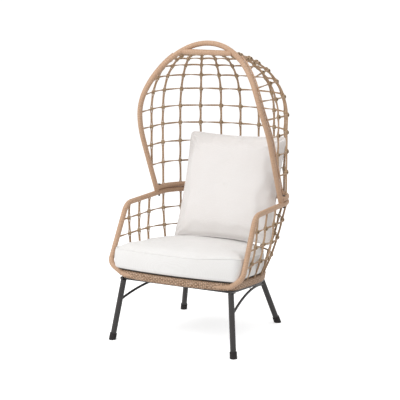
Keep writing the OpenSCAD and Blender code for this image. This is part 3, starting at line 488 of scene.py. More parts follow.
def bandMaterial(name, look):
    kind = surfaces["band"]
    material, tree, shader = newMaterial(name, Roughness=kind["rough"], Specular_IOR_Level=kind["shine"])
    weave = readFac(tree, "weave")
    spots = placed(tree, grain, Vector=objectPlace(tree), Blotch=kind["blotch"], Grain=kind["grain"])
    color = blendColor(tree, ranged(tree, weave, -0.25, 0.25), look["under"], look["over"])
    color = blendColor(tree, ranged(tree, spots["Blotches"], 0.42, 0.62, 0.0, 0.8), color, look["fleck"])
    # painted shade: the borders between the woven cells, where the band sinks, are darkened towards the gap
    # colour
    recessShade = ranged(tree, calc(tree, "ABSOLUTE", weave), 0.0, 0.32, look["gapShade"], 0.0)
    color = blendColor(tree, recessShade, color, look["gap"])
    rough = ranged(tree, spots["Fine"], 0.3, 0.7, 0.46, 0.66)
    finished(tree, shader, color, rough, spots["Fine"], look["relief"], kind["bump"])
    return material


def paintMaterial(name, look):
    kind, rough = {**surfaces["paint"], **look}, look["rough"]
    material, tree, shader = newMaterial(name, Roughness=rough, Specular_IOR_Level=kind["shine"],
                                         Metallic=look.get("metal", 0.0))
    spots = placed(tree, grain, Vector=objectPlace(tree), Blotch=kind["blotch"], Grain=look["grain"])
    color = blendColor(tree, ranged(tree, spots["Blotches"], 0.35, 0.7), look["color"], look["worn"])
    rough = ranged(tree, spots["Blotches"], 0.3, 0.7, rough - 0.05, rough + 0.09)
    finished(tree, shader, color, rough, spots["Fine"], look["relief"], kind["bump"])
    return material


def clothMaterial(name, look):
    kind = surfaces["cloth"]
    material, tree, shader = newMaterial(name, Roughness=kind["rough"], Specular_IOR_Level=kind["shine"],
                                         Sheen_Weight=kind["sheen"], Sheen_Roughness=kind["sheenRough"])
    here = objectPlace(tree)
    woven = placed(tree, clothWeave, Vector=here, Pitch=look["pitch"])
    spots = placed(tree, grain, Vector=here, Blotch=kind["blotch"], Grain=kind["grain"])
    color = blendColor(tree, ranged(tree, spots["Blotches"], 0.35, 0.7), look["color"], look["warm"])
    color = blendColor(tree, ranged(tree, woven["Slub"], 0.5, 0.75, 0.0, 0.5), color, look["slub"])
    # painted shade: the hollows between the threads are darkened towards the gap colour
    recessShade = ranged(tree, woven["Thread"], 0.5, 0.15, 0.0, look["threadShade"])
    color = blendColor(tree, recessShade, color, look["gap"])
    height = calc(tree, "ADD", woven["Thread"], calc(tree, "MULTIPLY", woven["Slub"], 0.5))
    finished(tree, shader, color, None, height, look["relief"], kind["bump"])
    return material


# in each look, gap is the colour of the painted shade laid into the recesses between strips, cells or
# threads, and gapShade or threadShade says how strongly
wicker = wickerMaterial("woundWicker", {
    "light": (0.610, 0.405, 0.280), "warm": (0.560, 0.352, 0.236), "deep": (0.440, 0.268, 0.172),
    "gold": (0.560, 0.388, 0.222), "gap": (0.140, 0.078, 0.044), "gapShade": 0.75,
    "strip": 0.0060, "rough": 0.48, "relief": 0.0006})
strandWicker = wickerMaterial("strandWicker", {
    "light": (0.530, 0.362, 0.238), "warm": (0.450, 0.286, 0.182), "deep": (0.300, 0.182, 0.110),
    "gold": (0.550, 0.405, 0.235), "gap": (0.110, 0.062, 0.034), "gapShade": 0.6,
    "strip": 0.0085, "rough": 0.5, "relief": 0.0006})
# a paler copy of the strand wicker: painted highlight on the lashings, which stand out and catch the light at
# the crossings
lashWicker = wickerMaterial("lashingWicker", {
    "light": (0.600, 0.450, 0.285), "warm": (0.520, 0.370, 0.225), "deep": (0.380, 0.255, 0.150),
    "gold": (0.610, 0.480, 0.270), "gap": (0.160, 0.095, 0.052), "gapShade": 0.35,
    "strip": 0.0085, "rough": 0.5, "relief": 0.0005})
bandWicker = bandMaterial("bandWicker", {
    "over": (0.490, 0.308, 0.190), "under": (0.250, 0.142, 0.080), "fleck": (0.680, 0.485, 0.350),
    "gap": (0.060, 0.034, 0.022), "gapShade": 0.95, "relief": 0.0006})
charcoal = paintMaterial("charcoalPaint", {
    "color": (0.017, 0.014, 0.014), "worn": (0.027, 0.023, 0.023), "rough": 0.42, "grain": 900.0,
    "relief": 0.0004})
rubber = paintMaterial("footRubber", {
    "color": (0.016, 0.013, 0.013), "worn": (0.028, 0.024, 0.023), "rough": 0.7, "grain": 600.0,
    "relief": 0.0004, "shine": 0.3})
blackSteel = paintMaterial("blackFixing", {
    "color": (0.022, 0.021, 0.021), "worn": (0.050, 0.047, 0.045), "rough": 0.36, "grain": 500.0,
    "relief": 0.0002})
plated = paintMaterial("platedSteel", {
    "color": (0.52, 0.51, 0.50), "worn": (0.38, 0.36, 0.34), "metal": 1.0, "rough": 0.35, "grain": 500.0,
    "relief": 0.0002})
bareSteel = paintMaterial("tubeSteel", {
    "color": (0.40, 0.39, 0.38), "worn": (0.28, 0.26, 0.24), "metal": 1.0, "rough": 0.45, "grain": 400.0,
    "relief": 0.0002})
# black webbing of the seat straps; their black also fills the gap under the cushion as painted shade
webbing = clothMaterial("blackWebbing", {
    "color": (0.030, 0.028, 0.026), "warm": (0.040, 0.036, 0.032), "slub": (0.055, 0.050, 0.045),
    "gap": (0.008, 0.008, 0.008), "threadShade": 0.6, "pitch": 0.0024, "relief": 0.0008})
cushionCloth = clothMaterial("cushionCloth", {
    "color": (0.850, 0.838, 0.825), "warm": (0.835, 0.820, 0.803), "slub": (0.885, 0.878, 0.868),
    "gap": (0.65, 0.63, 0.60), "threadShade": 0.35, "pitch": 0.0016, "relief": 0.0005})
pillowCloth = clothMaterial("pillowCloth", {
    "color": (0.835, 0.808, 0.792), "warm": (0.818, 0.785, 0.765), "slub": (0.868, 0.848, 0.832),
    "gap": (0.63, 0.59, 0.565), "threadShade": 0.35, "pitch": 0.0016, "relief": 0.0005})
# a near-black cloth on the seat cushion's lowest strip: painted shade for the dark crevice between the
# cushion and the rim band
cushionUnderShade = clothMaterial("cushionUnderShade", {
    "color": (0.028, 0.024, 0.021), "warm": (0.036, 0.030, 0.026), "slub": (0.050, 0.043, 0.037),
    "gap": (0.008, 0.007, 0.006), "threadShade": 0.6, "pitch": 0.0020, "relief": 0.0006})
print("materials made")

# wound tubes

woundTube = {"radius": chair["tubeR"], "strip": 0.0060, "relief": 0.0007, "step": 0.0013, "sides": 20}
stripEdge = 4.0          # how sharply a strip falls off at its edges
edgeCord = {"radius": 0.004, "strip": 0.0045, "relief": 0.0005, "step": 0.0012, "sides": 10,
            "turn": 58, "firstAngle": 60}


def resampled(tree, mesh, length):       # an evenly divided curve that keeps the length along it
    curve = put(tree, "GeometryNodeMeshToCurve", {"Mesh": mesh}).outputs[0]
    curve = put(tree, "GeometryNodeResampleCurve", {"Curve": curve, "Length": length}, mode="LENGTH")
    along = put(tree, "GeometryNodeSplineParameter").outputs["Length"]
    return storeValue(tree, curve.outputs[0], "along", along)


def roundProfile(tree, sides, radius):   # a circle that keeps each point's place round it
    circle = put(tree, "GeometryNodeCurvePrimitiveCircle", {"Resolution": sides, "Radius": radius}).outputs[0]
    place = put(tree, "GeometryNodeInputPosition").outputs[0]
    return storeValue(tree, circle, "round", place, "FLOAT_VECTOR")


def woundTubeTree():     # a tube wound with a flat strip
    tree, given, made = startTree("Geometry", "woundTube", {
        "Radius": 0.013, "Strip": 0.006, "Relief": 0.0006, "Step": 0.0012, "Sides": 22,
        "Material": "Material"})
    curve = resampled(tree, given["Geometry"], given["Step"])
    radius = calc(tree, "SUBTRACT", given["Radius"], given["Relief"])
    curve = put(tree, "GeometryNodeSetCurveRadius", {"Curve": curve, "Radius": radius}).outputs[0]
    skin = put(tree, "GeometryNodeCurveToMesh", {
        "Curve": curve, "Profile Curve": roundProfile(tree, given["Sides"], 1.0), "Fill Caps": True,
        "Scale": put(tree, "GeometryNodeInputRadius").outputs[0]}).outputs[0]
    along, place = readValue(tree, "along"), readValue(tree, "round", "FLOAT_VECTOR")
    ridge, _ = windRidge(tree, along, place, given["Strip"], stripEdge)
    skin = raised(tree, skin, calc(tree, "MULTIPLY", ridge, given["Relief"]))
    finishTree(tree, skin, given["Material"], made["Geometry"])
    return tree


woundTree = woundTubeTree()


def makeTube(name, paths, look, node, slot="wrapped_wicker"):
    source = pathObject(name + "Path", [densified(path, chair["pathStep"])[0] for path in paths])
    tube = grown(name, source, woundTree, Radius=look["radius"], Strip=look["strip"], Relief=look["relief"],
                 Step=look["step"], Sides=look["sides"], Material=wicker)
    settle(tube, "chair", slot, node)


def edgePath():          # a cord beside the hoop, on its outer back
    half = hoopHalf()
    dirs = [unit(half[min(k + 1, len(half) - 1)] - half[max(k - 1, 0)]) for k in range(len(half))]
    turn = math.radians(edgeCord["turn"])
    side = chair["tubeR"] + edgeCord["radius"] + chair["fit"]
    archZ = chair["hoopTopZ"] - chair["springZ"]
    points = []
    for p, d in zip(half, dirs):
        rise = max(p[2] - chair["springZ"], 0)
        angle = math.degrees(math.atan2(rise / archZ, p[0] / chair["armX"]))
        if angle > edgeCord["firstAngle"] or p[2] < chair["hoodZ"] + 2 * chair["tubeR"]:
            continue
        out = np.array([p[0], 0, rise])
        out = unit(out - (out @ d) * d)
        back = np.cross(d, out)
        back *= np.sign(back[1])
        points.append(p + side * (math.sin(turn) * out + math.cos(turn) * back))
    return points


makeTube("armRail", [armPath(True)], woundTube, "arm_rail_wrap")
makeTube("hoodHoop", [bothSides(hoopHalf())], woundTube, "hood_hoop_wrap")
makeTube("hoodRail", [hoodRailPath()], woundTube, "hood_rail_wrap")
makeTube("hoodBar", [barPath()], woundTube, "hood_bar_wrap")
makeTube("hoodEdgeCords", [edgePath(), mirrored(edgePath())], edgeCord, "hood_edge_cords", "net_wicker")
print("tubes wound")

# the woven rim band

rimBand = {"cell": 0.0092, "perCell": 4, "cellsRound": 14, "relief": 0.0018, "rounding": 0.007,
           "cornerSteps": 5}


def bandTree():
    tree, given, made = startTree("Geometry", "wovenBand", {
        "Width": 0.03, "Height": 0.035, "Rounding": 0.007, "Cells Along": 200.0, "Cells Round": 16.0,
        "Per Cell": 4, "Relief": 0.001, "Material": "Material"})

    def counted(curve, cells, label):    # divides a curve into cells and keeps how many lie behind each point
        count = calc(tree, "MULTIPLY", given[cells], given["Per Cell"])
        curve = put(tree, "GeometryNodeResampleCurve", {"Curve": curve, "Count": count}, mode="COUNT")
        index = put(tree, "GeometryNodeSplineParameter").outputs["Index"]
        return storeValue(tree, curve.outputs[0], label, calc(tree, "DIVIDE", index, given["Per Cell"]))

    def wave(label):
        return calc(tree, "SINE", calc(tree, "MULTIPLY", readValue(tree, label), math.pi))

    curve = put(tree, "GeometryNodeMeshToCurve", {"Mesh": given["Geometry"]}).outputs[0]
    box = put(tree, "GeometryNodeCurvePrimitiveQuadrilateral", {
        "Width": given["Width"], "Height": given["Height"]})
    box = put(tree, "GeometryNodeFilletCurve", {
        "Curve": box.outputs[0], "Radius": given["Rounding"], "Count": rimBand["cornerSteps"]}, mode="POLY")
    skin = put(tree, "GeometryNodeCurveToMesh", {
        "Curve": counted(curve, "Cells Along", "cellAlong"),
        "Profile Curve": counted(box.outputs[0], "Cells Round", "cellRound")})
    weave = calc(tree, "MULTIPLY", wave("cellAlong"), wave("cellRound"))
    skin = storeValue(tree, skin.outputs[0], "weave", weave)
    height = calc(tree, "SUBTRACT", calc(tree, "POWER", calc(tree, "ABSOLUTE", weave), 0.6), 0.8)
    skin = raised(tree, skin, calc(tree, "MULTIPLY", height, given["Relief"]))
    finishTree(tree, skin, given["Material"], made["Geometry"])
    return tree


rimPoints = rimPath()
rimLength = sum(np.linalg.norm(a - b) for a, b in zip(rimPoints, rimPoints[1:] + rimPoints[:1]))
rimCells = 2 * round(rimLength / rimBand["cell"] / 2)
band = grown("seatRimBand", pathObject("rimBandPath", [rimPoints], closed=True), bandTree(), **{
    "Width": chair["bandW"], "Height": chair["bandH"], "Rounding": rimBand["rounding"],
    "Cells Along": float(rimCells), "Cells Round": float(rimBand["cellsRound"]),
    "Per Cell": rimBand["perCell"], "Relief": rimBand["relief"], "Material": bandWicker})
settle(band, "chair", "band_wicker", "seat_rim_weave")
print("rim band woven")

# the net

strands = {"step": 0.0045, "sides": 7, "spreadRun": 0.018, "wanderRun": 0.035, "endRun": 0.012}
uprightCords = {"cordR": 0.0031, "gap": 0.0025, "spread": 0.0022, "twist": 0.0}
levelCords = {"cordR": 0.0026, "gap": 0.0020, "spread": 0.0006, "twist": 24.0}
strandEnds = {
    "barSink": 0.3, "barDrop": 0.004, "hoopReach": 0.006, "railSink": 0.6, "clear": 0.02,
    "hoodSplay": (0.6, 0.8), "tubTop": 0.93, "armSink": 0.5, "armClear": 0.03, "rimReach": 0.006,
    "tubSplay": (0.9, 0.5),
}
levelEnds = {"clear": 0.030, "behind": 0.012, "hoodOffset": (-0.002, 0.009, 0),
             "tubOffset": (-0.002, 0.008, 0)}


def strandPairTree():    # two cords side by side, spread where splay is 1, laid round each other by twist
    tree, given, made = startTree("Geometry", "strandPair", {
        "Cord": 0.0027, "Gap": 0.002, "Spread": 0.002, "Twist": 0.0, "Step": 0.004, "Sides": 7,
        "Material": "Material"})
    curve = resampled(tree, given["Geometry"], given["Step"])
    pair = put(tree, "GeometryNodeDuplicateElements", {"Geometry": curve, "Amount": 2}, domain="SPLINE")
    side = calc(tree, "MULTIPLY_ADD", pair.outputs["Duplicate Index"], 2.0, -1.0)
    tangent = put(tree, "GeometryNodeInputTangent").outputs[0]
    out = readValue(tree, "out", "FLOAT_VECTOR")
    across = vectorCalc(tree, "NORMALIZE", vectorCalc(tree, "CROSS_PRODUCT", tangent, out))
    spread = calc(tree, "MULTIPLY_ADD", readValue(tree, "splay"), given["Spread"], given["Gap"])
    reach = calc(tree, "MULTIPLY", side, spread)
    angle = calc(tree, "MULTIPLY", readValue(tree, "along"), given["Twist"])
    flat = vectorCalc(tree, "SCALE", across, Scale=calc(tree, "MULTIPLY", reach, calc(tree, "COSINE", angle)))
    high = vectorCalc(tree, "SCALE", out, Scale=calc(tree, "MULTIPLY", reach, calc(tree, "SINE", angle)))
    moved = put(tree, "GeometryNodeSetPosition", {
        "Geometry": pair.outputs[0], "Offset": vectorCalc(tree, "ADD", flat, high)}).outputs[0]
    profile = roundProfile(tree, given["Sides"], given["Cord"])
    skin = put(tree, "GeometryNodeCurveToMesh", {"Curve": moved, "Profile Curve": profile, "Fill Caps": True})
    finishTree(tree, skin.outputs[0], given["Material"], made["Geometry"])
    return tree


pairTree = strandPairTree()
rng = np.random.default_rng(net["seed"])
wanderAcross = {key: rng.uniform(-1, 1) * net["wander"] for key in
                [(part, i, k) for part in ("hood", "tub") for i in range(-7, 8) for k in range(10)]}
wanderAlong = {key: rng.uniform(-1, 1) * net["wander"] for key in wanderAcross}
crossings = []           # place, outward normal and direction of the upright at each crossing


def nearness(at, place, run):            # 1 at a place along a path, fading over run
    return np.exp(-((at - place) / run) ** 2)


def strandPath(points, outs, crossPoints, shifts, endsSplay=()):
    # evenly spaced path with its outward directions, how far the pair spreads, and its sideways wander
    raw = np.asarray(points, float)
    lengths = np.concatenate([[0], np.cumsum(np.linalg.norm(np.diff(raw, axis=0), axis=1))])
    path, at = densified(raw, strands["step"])
    out = np.stack([np.interp(at, lengths, np.asarray(outs)[:, k]) for k in range(3)], axis=1)
    out /= np.linalg.norm(out, axis=1)[:, None]
    splay = np.zeros(len(path))
    wander = np.zeros(len(path))
    places = [int(np.argmin(np.linalg.norm(path - point, axis=1))) for point in crossPoints]
    for k, shift in zip(places, shifts):
        splay = np.maximum(splay, nearness(at, at[k], strands["spreadRun"]))
        wander += shift * nearness(at, at[k], strands["wanderRun"])
    for end, amount in zip((at[0], at[-1]), endsSplay):
        splay = np.maximum(splay, amount * nearness(at, end, strands["endRun"]))
    tangent = np.gradient(path, axis=0)
    across = np.cross(tangent, out)
    across /= np.linalg.norm(across, axis=1)[:, None]
    bow = net["bow"] * (1 - splay) * min(len(crossPoints), 1)
    path = path + across * wander[:, None] + out * bow[:, None]
    return path, out, splay, tangent, places


def uprightPath(points, outs, crossPoints, part, i, rows, endsSplay):
    made = strandPath(points, outs, crossPoints, [wanderAcross[part, i, k] for k in rows], endsSplay)
    path, out, _, tangent, places = made
    for k in places:
        crossings.append((path[k], out[k], unit(tangent[k])))
    return made


def hoodUpright(i):
    run = math.copysign(strandRun(abs(i), "hoodSideGap"), i) if i else 0.0
    step, barZ, domeZ, ends = net["uprightStep"], chair["barZ"], chair["domeZ"], strandEnds
    angles = np.radians(np.linspace(90, 0, 36))
    points = [hoodPoint(run, a, domeZ, step) for a in angles]
    outs = [outward(lambda s: hoodPoint(run, a, domeZ, s)) for a in angles]
    points[0] = np.array([i * net["barPitch"], hoopY(barZ) + ends["barSink"] * chair["tubeR"],
                          barZ - ends["barDrop"]])
    outs[0] = outs[1] = np.array([0, 0, 1.0])
    x, y, _ = points[-1]
    if abs(i) > net["backStrands"]:
        drop = math.sqrt(max(((y - chair["kneeY"]) / chair["hoopLean"]) ** 2 - chair["hoopSoft"] ** 2, 0))
        endZ = chair["kneeZ"] - drop + ends["hoopReach"]
    else:
        endZ = chair["hoodZ"] + ends["railSink"] * chair["tubeR"]
    low = np.linspace(domeZ, endZ, 12)[1:]
    points += [np.array([x, y, z]) for z in low]
    outs += [outs[-1]] * len(low)
    rows = [k for k, z in enumerate(net["hoodLevels"])
            if z >= endZ + ends["clear"] and ringReaches(k, abs(run))]
    crossPoints = [hoodPoint(run, domeAngle(net["hoodLevels"][k]), net["hoodLevels"][k], step) for k in rows]
    return uprightPath(points, outs, crossPoints, "hood", i, rows, ends["hoodSplay"])


def ringReaches(k, run):     # whether a hood level still passes a strand before it ends on the hoop
    z = net["hoodLevels"][k]
    p = hoodPoint(run, domeAngle(z), z, 0)
    end = hoopPoint(z - net["endDrop"][k])
    return np.linalg.norm(p - end) > 2 * chair["tubeR"] and p[1] > end[1]


def levelPath(surface, part, row, end, endOut, isCrossing):
    sideGap, count = part + "SideGap", net[part + "Strands"]
    half, outs = [], []
    for run in np.linspace(0, strandRun(count, sideGap), 40):
        p = surface(run, net["levelStep"])
        near = np.linalg.norm(p - end) < levelEnds["clear"] or p[1] < end[1] + levelEnds["behind"]
        if part == "hood" and near:
            break
        half.append(p)
        outs.append(outward(lambda s: surface(run, s)))
    half = smoothed(half + [end], 2)
    outs = [unit(o) for o in smoothed(outs + [endOut], 2)]
    numbers = [i for i in range(-count, count + 1) if isCrossing(abs(i))]
    crossPoints = []
    for i in numbers:
        x, y, z = surface(strandRun(abs(i), sideGap), net["levelStep"])
        crossPoints.append(np.array([math.copysign(x, i) if i else 0.0, y, z]))
    shifts = [wanderAlong[part, i, row] for i in numbers]
    return strandPath(bothSides(half), bothSides(outs), crossPoints, shifts)


def smoothed(points, rounds):
    points = np.asarray(points, float)
    for _ in range(rounds):
        inner = (points[:-2] + 2 * points[1:-1] + points[2:]) / 4
        points = np.vstack([points[:1], inner, points[-1:]])
    return list(points)


def hoodLevel(k):
    z = net["hoodLevels"][k]
    angle = domeAngle(z)
    return levelPath(lambda run, step: hoodPoint(run, angle, z, step), "hood", k,
                     hoopPoint(z - net["endDrop"][k]) + levelEnds["hoodOffset"], (1.0, 0, 0.2),
                     lambda i: ringReaches(k, strandRun(i, "hoodSideGap")))


def armPoint(run):           # centre line of the arm rail at a running length
    x, y = outlinePoint(run, chair["armX"], chair["armTurnY"], chair["armRearB"])
    whole = armPath(False)
    half = np.array(whole[len(whole) // 2:])
    ahead = half[half[:, 1] <= 0.02]
    return np.array([x, y, np.interp(-y, -ahead[:, 1], ahead[:, 2]) if y < 0 else chair["armZ"]])


def tubUpright(i):
    run = strandRun(abs(i), "tubSideGap")
    step, ends = net["uprightStep"], strandEnds
    top = armPoint(run) - np.array([0, 0, ends["armSink"] * chair["tubeR"]])
    low = [f for f in np.linspace(ends["tubTop"], 0, 26)
           if tubPoint(run, f, step)[2] < top[2] - ends["armClear"]]
    points = [top] + [tubPoint(run, f, step) for f in low]
    outs = [outward(lambda s: tubPoint(run, f, s)) for f in low]
    outs = outs[:1] + outs + outs[-1:]
    points.append(points[-1] + unit(points[-1] - points[-2]) * ends["rimReach"])
    rows = range(1, net["tubRows"] + 1)
    crossPoints = [tubPoint(run, row / (net["tubRows"] + 1), step) for row in rows]
    if i < 0:
        points, outs, crossPoints = mirrored(points), mirrored(outs), mirrored(crossPoints)
    return uprightPath(points, outs, crossPoints, "tub", i, rows, ends["tubSplay"])


def tubLevel(row):
    f = row / (net["tubRows"] + 1)
    last = tubPoint(strandRun(net["tubStrands"], "tubSideGap"), f, net["levelStep"])
    top = np.array([chair["armX"], -chair["armCornerY"], chair["armZ"]])
    slope = np.array(chair["postKnee"]) - top
    end = top + slope * (last[2] - chair["armZ"]) / slope[2] + levelEnds["tubOffset"]
    return levelPath(lambda run, step: tubPoint(run, f, step), "tub", row, end, (1.0, 0, 0), lambda i: True)


def strandPiece(name, made, cords, node):
    paths, outs, splays, *_ = zip(*made)
    source = pathObject(name + "Paths", paths, out=outs, splay=splays)
    piece = grown(name, source, pairTree, Cord=cords["cordR"], Gap=cords["gap"], Spread=cords["spread"],
                  Twist=cords["twist"], Step=strands["step"], Sides=strands["sides"], Material=strandWicker)
    settle(piece, "chair", "net_wicker", node)


for part, upright, first, last in (("hood", hoodUpright, 2, 6), ("tub", tubUpright, 3, 8)):
    for side, numbers in (("Left", range(first, last)), ("Back", range(1 - first, first)),
                          ("Right", range(-first, -last, -1))):
        strandPiece(part + "Strands" + side, [upright(i) for i in numbers], uprightCords,
                    part + "_strands_" + side.lower())
for k in range(len(net["hoodLevels"])):
    strandPiece("hoodLevel%d" % (k + 1), [hoodLevel(k)], levelCords, "hood_ring_%d" % (k + 1))
for row, label in ((1, "low"), (2, "middle"), (3, "high")):
    strandPiece("tubLevel" + label.capitalize(), [tubLevel(row)], levelCords, "tub_ring_" + label)
print("net strung,", len(crossings), "crossings")

# lashings at the crossings

lashing = {"cordR": 0.0024, "reach": 0.0090, "height": 0.0078, "shift": 0.0022, "out": 0.0042, "rings": 16,
           "sides": 6, "lean": (0.62, 0.78), "sizes": (0.90, 1.10)}


def ringFaces(rings, sides, first=0):    # faces of a closed cord
    turns = ((0, 0), (0, 1), (1, 1), (1, 0))
    return [tuple(first + (i + a) % rings * sides + (j + b) % sides for a, b in turns)
            for i in range(rings) for j in range(sides)]


def lashingForm():       # two turns on each diagonal of a crossing, X across, Y along the upright, Z outward
    rings, sides, height = lashing["rings"], lashing["sides"], lashing["height"]
    points, faces = [], []
    for diagonal in (1, -1):
        direction = unit((lashing["lean"][0], lashing["lean"][1] * diagonal, 0)) * lashing["reach"]
        aside = unit((-direction[1], direction[0], 0))
        for shift in (-lashing["shift"], lashing["shift"]):
            faces += ringFaces(rings, sides, len(points))
            for a in np.arange(rings) * 2 * math.pi / rings:
                centre = direction * math.cos(a) + aside * shift
                centre[2] += lashing["out"] + height * math.sin(a)
                up = np.cross(unit(-direction * math.sin(a) + (0, 0, height * math.cos(a))), aside)
                points += [centre + lashing["cordR"] * (math.cos(b) * aside + math.sin(b) * up)
                           for b in np.arange(sides) * 2 * math.pi / sides]
    return meshPiece("lashingForm", points, faces, lashWicker)


def lashingTree():
    tree, given, made = startTree("Geometry", "lashings", {
        "Form": "Object", "Seed": 3, "Material": "Material"})
    form = put(tree, "GeometryNodeObjectInfo", {"Object": given["Form"]})
    out, way = (readValue(tree, name, "FLOAT_VECTOR") for name in ("out", "way"))
    turned = put(tree, "FunctionNodeAlignRotationToVector", {"Vector": out}, axis="Z")
    turned = put(tree, "FunctionNodeAlignRotationToVector", {"Rotation": turned.outputs[0], "Vector": way},
                 axis="Y", pivot_axis="Z")
    low, high = lashing["sizes"]
    size = put(tree, "FunctionNodeRandomValue", {"Seed": given["Seed"], 2: low, 3: high}, data_type="FLOAT")
    held = put(tree, "GeometryNodeInstanceOnPoints", {
        "Points": given["Geometry"], "Instance": form.outputs["Geometry"], "Rotation": turned.outputs[0],
        "Scale": size.outputs[1]})
    finishTree(tree, held.outputs[0], given["Material"], made["Geometry"])
    return tree


form = lashingForm()
lashSource = pathObject("lashingPoints", [[c[0]] for c in crossings], out=[[c[1]] for c in crossings],
                        way=[[c[2]] for c in crossings])
knots = grown("netLashings", lashSource, lashingTree(), Form=form, Seed=net["seed"], Material=lashWicker)
bpy.data.objects.remove(form)
settle(knots, "chair", "net_wicker")
print("lashings tied")

# cushions

seatPad = {
    "height": 0.102, "crown": 0.042, "x": 0.341, "frontY": 0.392, "cornerR": 0.045, "bowR": 1.4,
    "sideX": 0.317, "rearB": 0.335, "waist": ((0.009, -0.250), (0.001, -0.190)), "middleY": -0.070,
    "steps": (30, 12, 50),
    "topShares": (0.035, 0.07, 0.14, 0.28, 0.5, 0.97), "topRises": (0, 0.3, 0.57, 0.8, 0.94, 1.0),
    "side": ((0.050, 0.0004), (0.022, 0.0006), (0.015, 0.003), (0.0115, 0.0080), (0.0050, 0.0105),
             (0.0012, 0.019), (-0.0008, 0.036), (-0.0018, 0.058), (-0.0006, 0.080), (0.002, 0.094),
             (0.0045, 0.101)),           # inset and height up the side
    "baseTop": 0.0086, "pointStep": 0.006, "lowRings": 25, "sideRings": 30, "topRings": 46,
    "cornerLift": 0.015, "liftX": (0.10, 0.30), "liftY": (0.20, 0.36), "liftReach": 0.03,
    "pipingR": 0.0026, "pipingIn": 0.986, "pipingUp": 0.0005,
    "dent": 0.0022, "dentScale": 9.0, "underPillow": (0.03, 0.07, 0.05), "stillBase": 0.012, "seamRun": 0.006,
}
backPad = {
    "w": 0.545, "h": 0.545, "t": 0.152, "lean": 19.4, "turn": 2.7, "tip": 0.9, "x": 0.0545, "y": 0.054,
    "sink": 0.0069, "pull": 0.05, "fill": 0.42, "cells": 92, "ear": 20, "inset": 0.0030, "pipingR": 0.0019,
    "pressure": 1.6, "cap": 0.008, "frames": 14, "softening": 10, "stiffness": 12, "bending": 0.05,
    "loose": 0.05, "quality": 6, "mass": 0.2,
    "pucker": (0.0110, 0.0050, 0.0100, 0.0050),      # depth at the top, bottom, right and left seam
    "puckerPitch": 0.066, "puckerRun": 0.036, "puckerStart": 0.006, "puckerSharp": 4, "puckerSlant": 0.45,
    "crease": 0.0030, "creases": 9, "creaseAt": 0.07, "creaseRun": 0.06, "dent": 0.0050,
}


def inflate(piece, look, pinned, allowed):
    # a pressure simulation of slightly loose cloth, with a soft limit on how far each point may move
    mesh = piece.data
    before = np.array([v.co for v in mesh.vertices])
    piece.vertex_groups.new(name="seam").add(pinned, 1.0, "REPLACE")
    cloth = piece.modifiers.new("fill", "CLOTH")
    settings = cloth.settings
    settings.quality = look["quality"]
    settings.mass = look["mass"]
    settings.tension_stiffness = settings.compression_stiffness = look["stiffness"]
    settings.shear_stiffness = look["stiffness"] / 3
    settings.bending_stiffness = look["bending"]
    settings.vertex_group_mass = "seam"
    settings.shrink_min = -look["loose"]
    settings.use_pressure = True
    settings.uniform_pressure_force = look["pressure"]
    settings.effector_weights.gravity = 0
    cloth.point_cache.frame_start = 1
    cloth.point_cache.frame_end = look["frames"]
    for number in range(1, look["frames"] + 1):
        scene.frame_set(number)
    graph = bpy.context.evaluated_depsgraph_get()
    filled = bpy.data.meshes.new_from_object(piece.evaluated_get(graph))
    move = np.array([v.co for v in filled.vertices]) - before
    bpy.data.meshes.remove(filled)
    scene.frame_set(1)
    piece.modifiers.clear()
    piece.vertex_groups.clear()
    far = np.maximum(np.linalg.norm(move, axis=1), 1e-9)
    move *= (look["cap"] * np.tanh(far / look["cap"]) / far * allowed)[:, None]
    edges = np.array([edge.vertices[:] for edge in mesh.edges])
    count = np.bincount(edges.ravel(), minlength=len(before))[:, None]
    for _ in range(look["softening"]):   # a soft limit leaves no edge where it sets in
        total = np.zeros_like(move)
        np.add.at(total, edges[:, 0], move[edges[:, 1]])
        np.add.at(total, edges[:, 1], move[edges[:, 0]])
        move = (0.5 * move + 0.5 * total / count) * allowed[:, None]
    mesh.vertices.foreach_set("co", (before + move).ravel())
    mesh.update()


def addCord(piece, points, radius, sides=8):     # sews a closed cord onto a cushion's mesh
    path = np.asarray(points, float)
    way = np.roll(path, -1, axis=0) - np.roll(path, 1, axis=0)
    way /= np.linalg.norm(way, axis=1)[:, None]
    side = unit(np.cross(way[0], (0.3, 0.2, 1)))
    work = bmesh.new()
    work.from_mesh(piece.data)
    verts = []
    for point, along in zip(path, way):
        side = unit(side - (side @ along) * along)
        up = np.cross(along, side)
        verts += [work.verts.new(point + radius * (math.cos(b) * side + math.sin(b) * up))
                  for b in np.arange(sides) * 2 * math.pi / sides]
    cord = [work.faces.new([verts[k] for k in face]) for face in ringFaces(len(path), sides)]
    for face in cord:
        face.smooth = True
    bmesh.ops.recalc_face_normals(work, faces=cord)
    work.to_mesh(piece.data)
    work.free()


def seatPadEdge():       # plan of the seat cushion's widest edge, evenly spaced
    plan = seatEdge(seatPad, seatPad["waist"])
    points, _ = densified([(x, y, 0) for x, y in plan + plan[:1]], seatPad["pointStep"])
    return points[:-1, :2]


def seatPadPoint(x, y, height):          # the front right corner swells up a little
    look = seatPad
    fromX, toX = look["liftX"]
    fromY, toY = look["liftY"]
    lift = np.clip((x - fromX) / (toX - fromX), 0, 1)
    front = np.clip((-y - fromY) / (toY - fromY), 0, 1)
    rise = look["cornerLift"] * lift * lift * (3 - 2 * lift) * front * min(height / look["height"], 1) ** 2
    edge = math.exp(-((height - look["height"]) / look["liftReach"]) ** 2)
    return onSeat(x, y, chair["bandH"] / 2 + chair["fit"] + height + rise * edge)


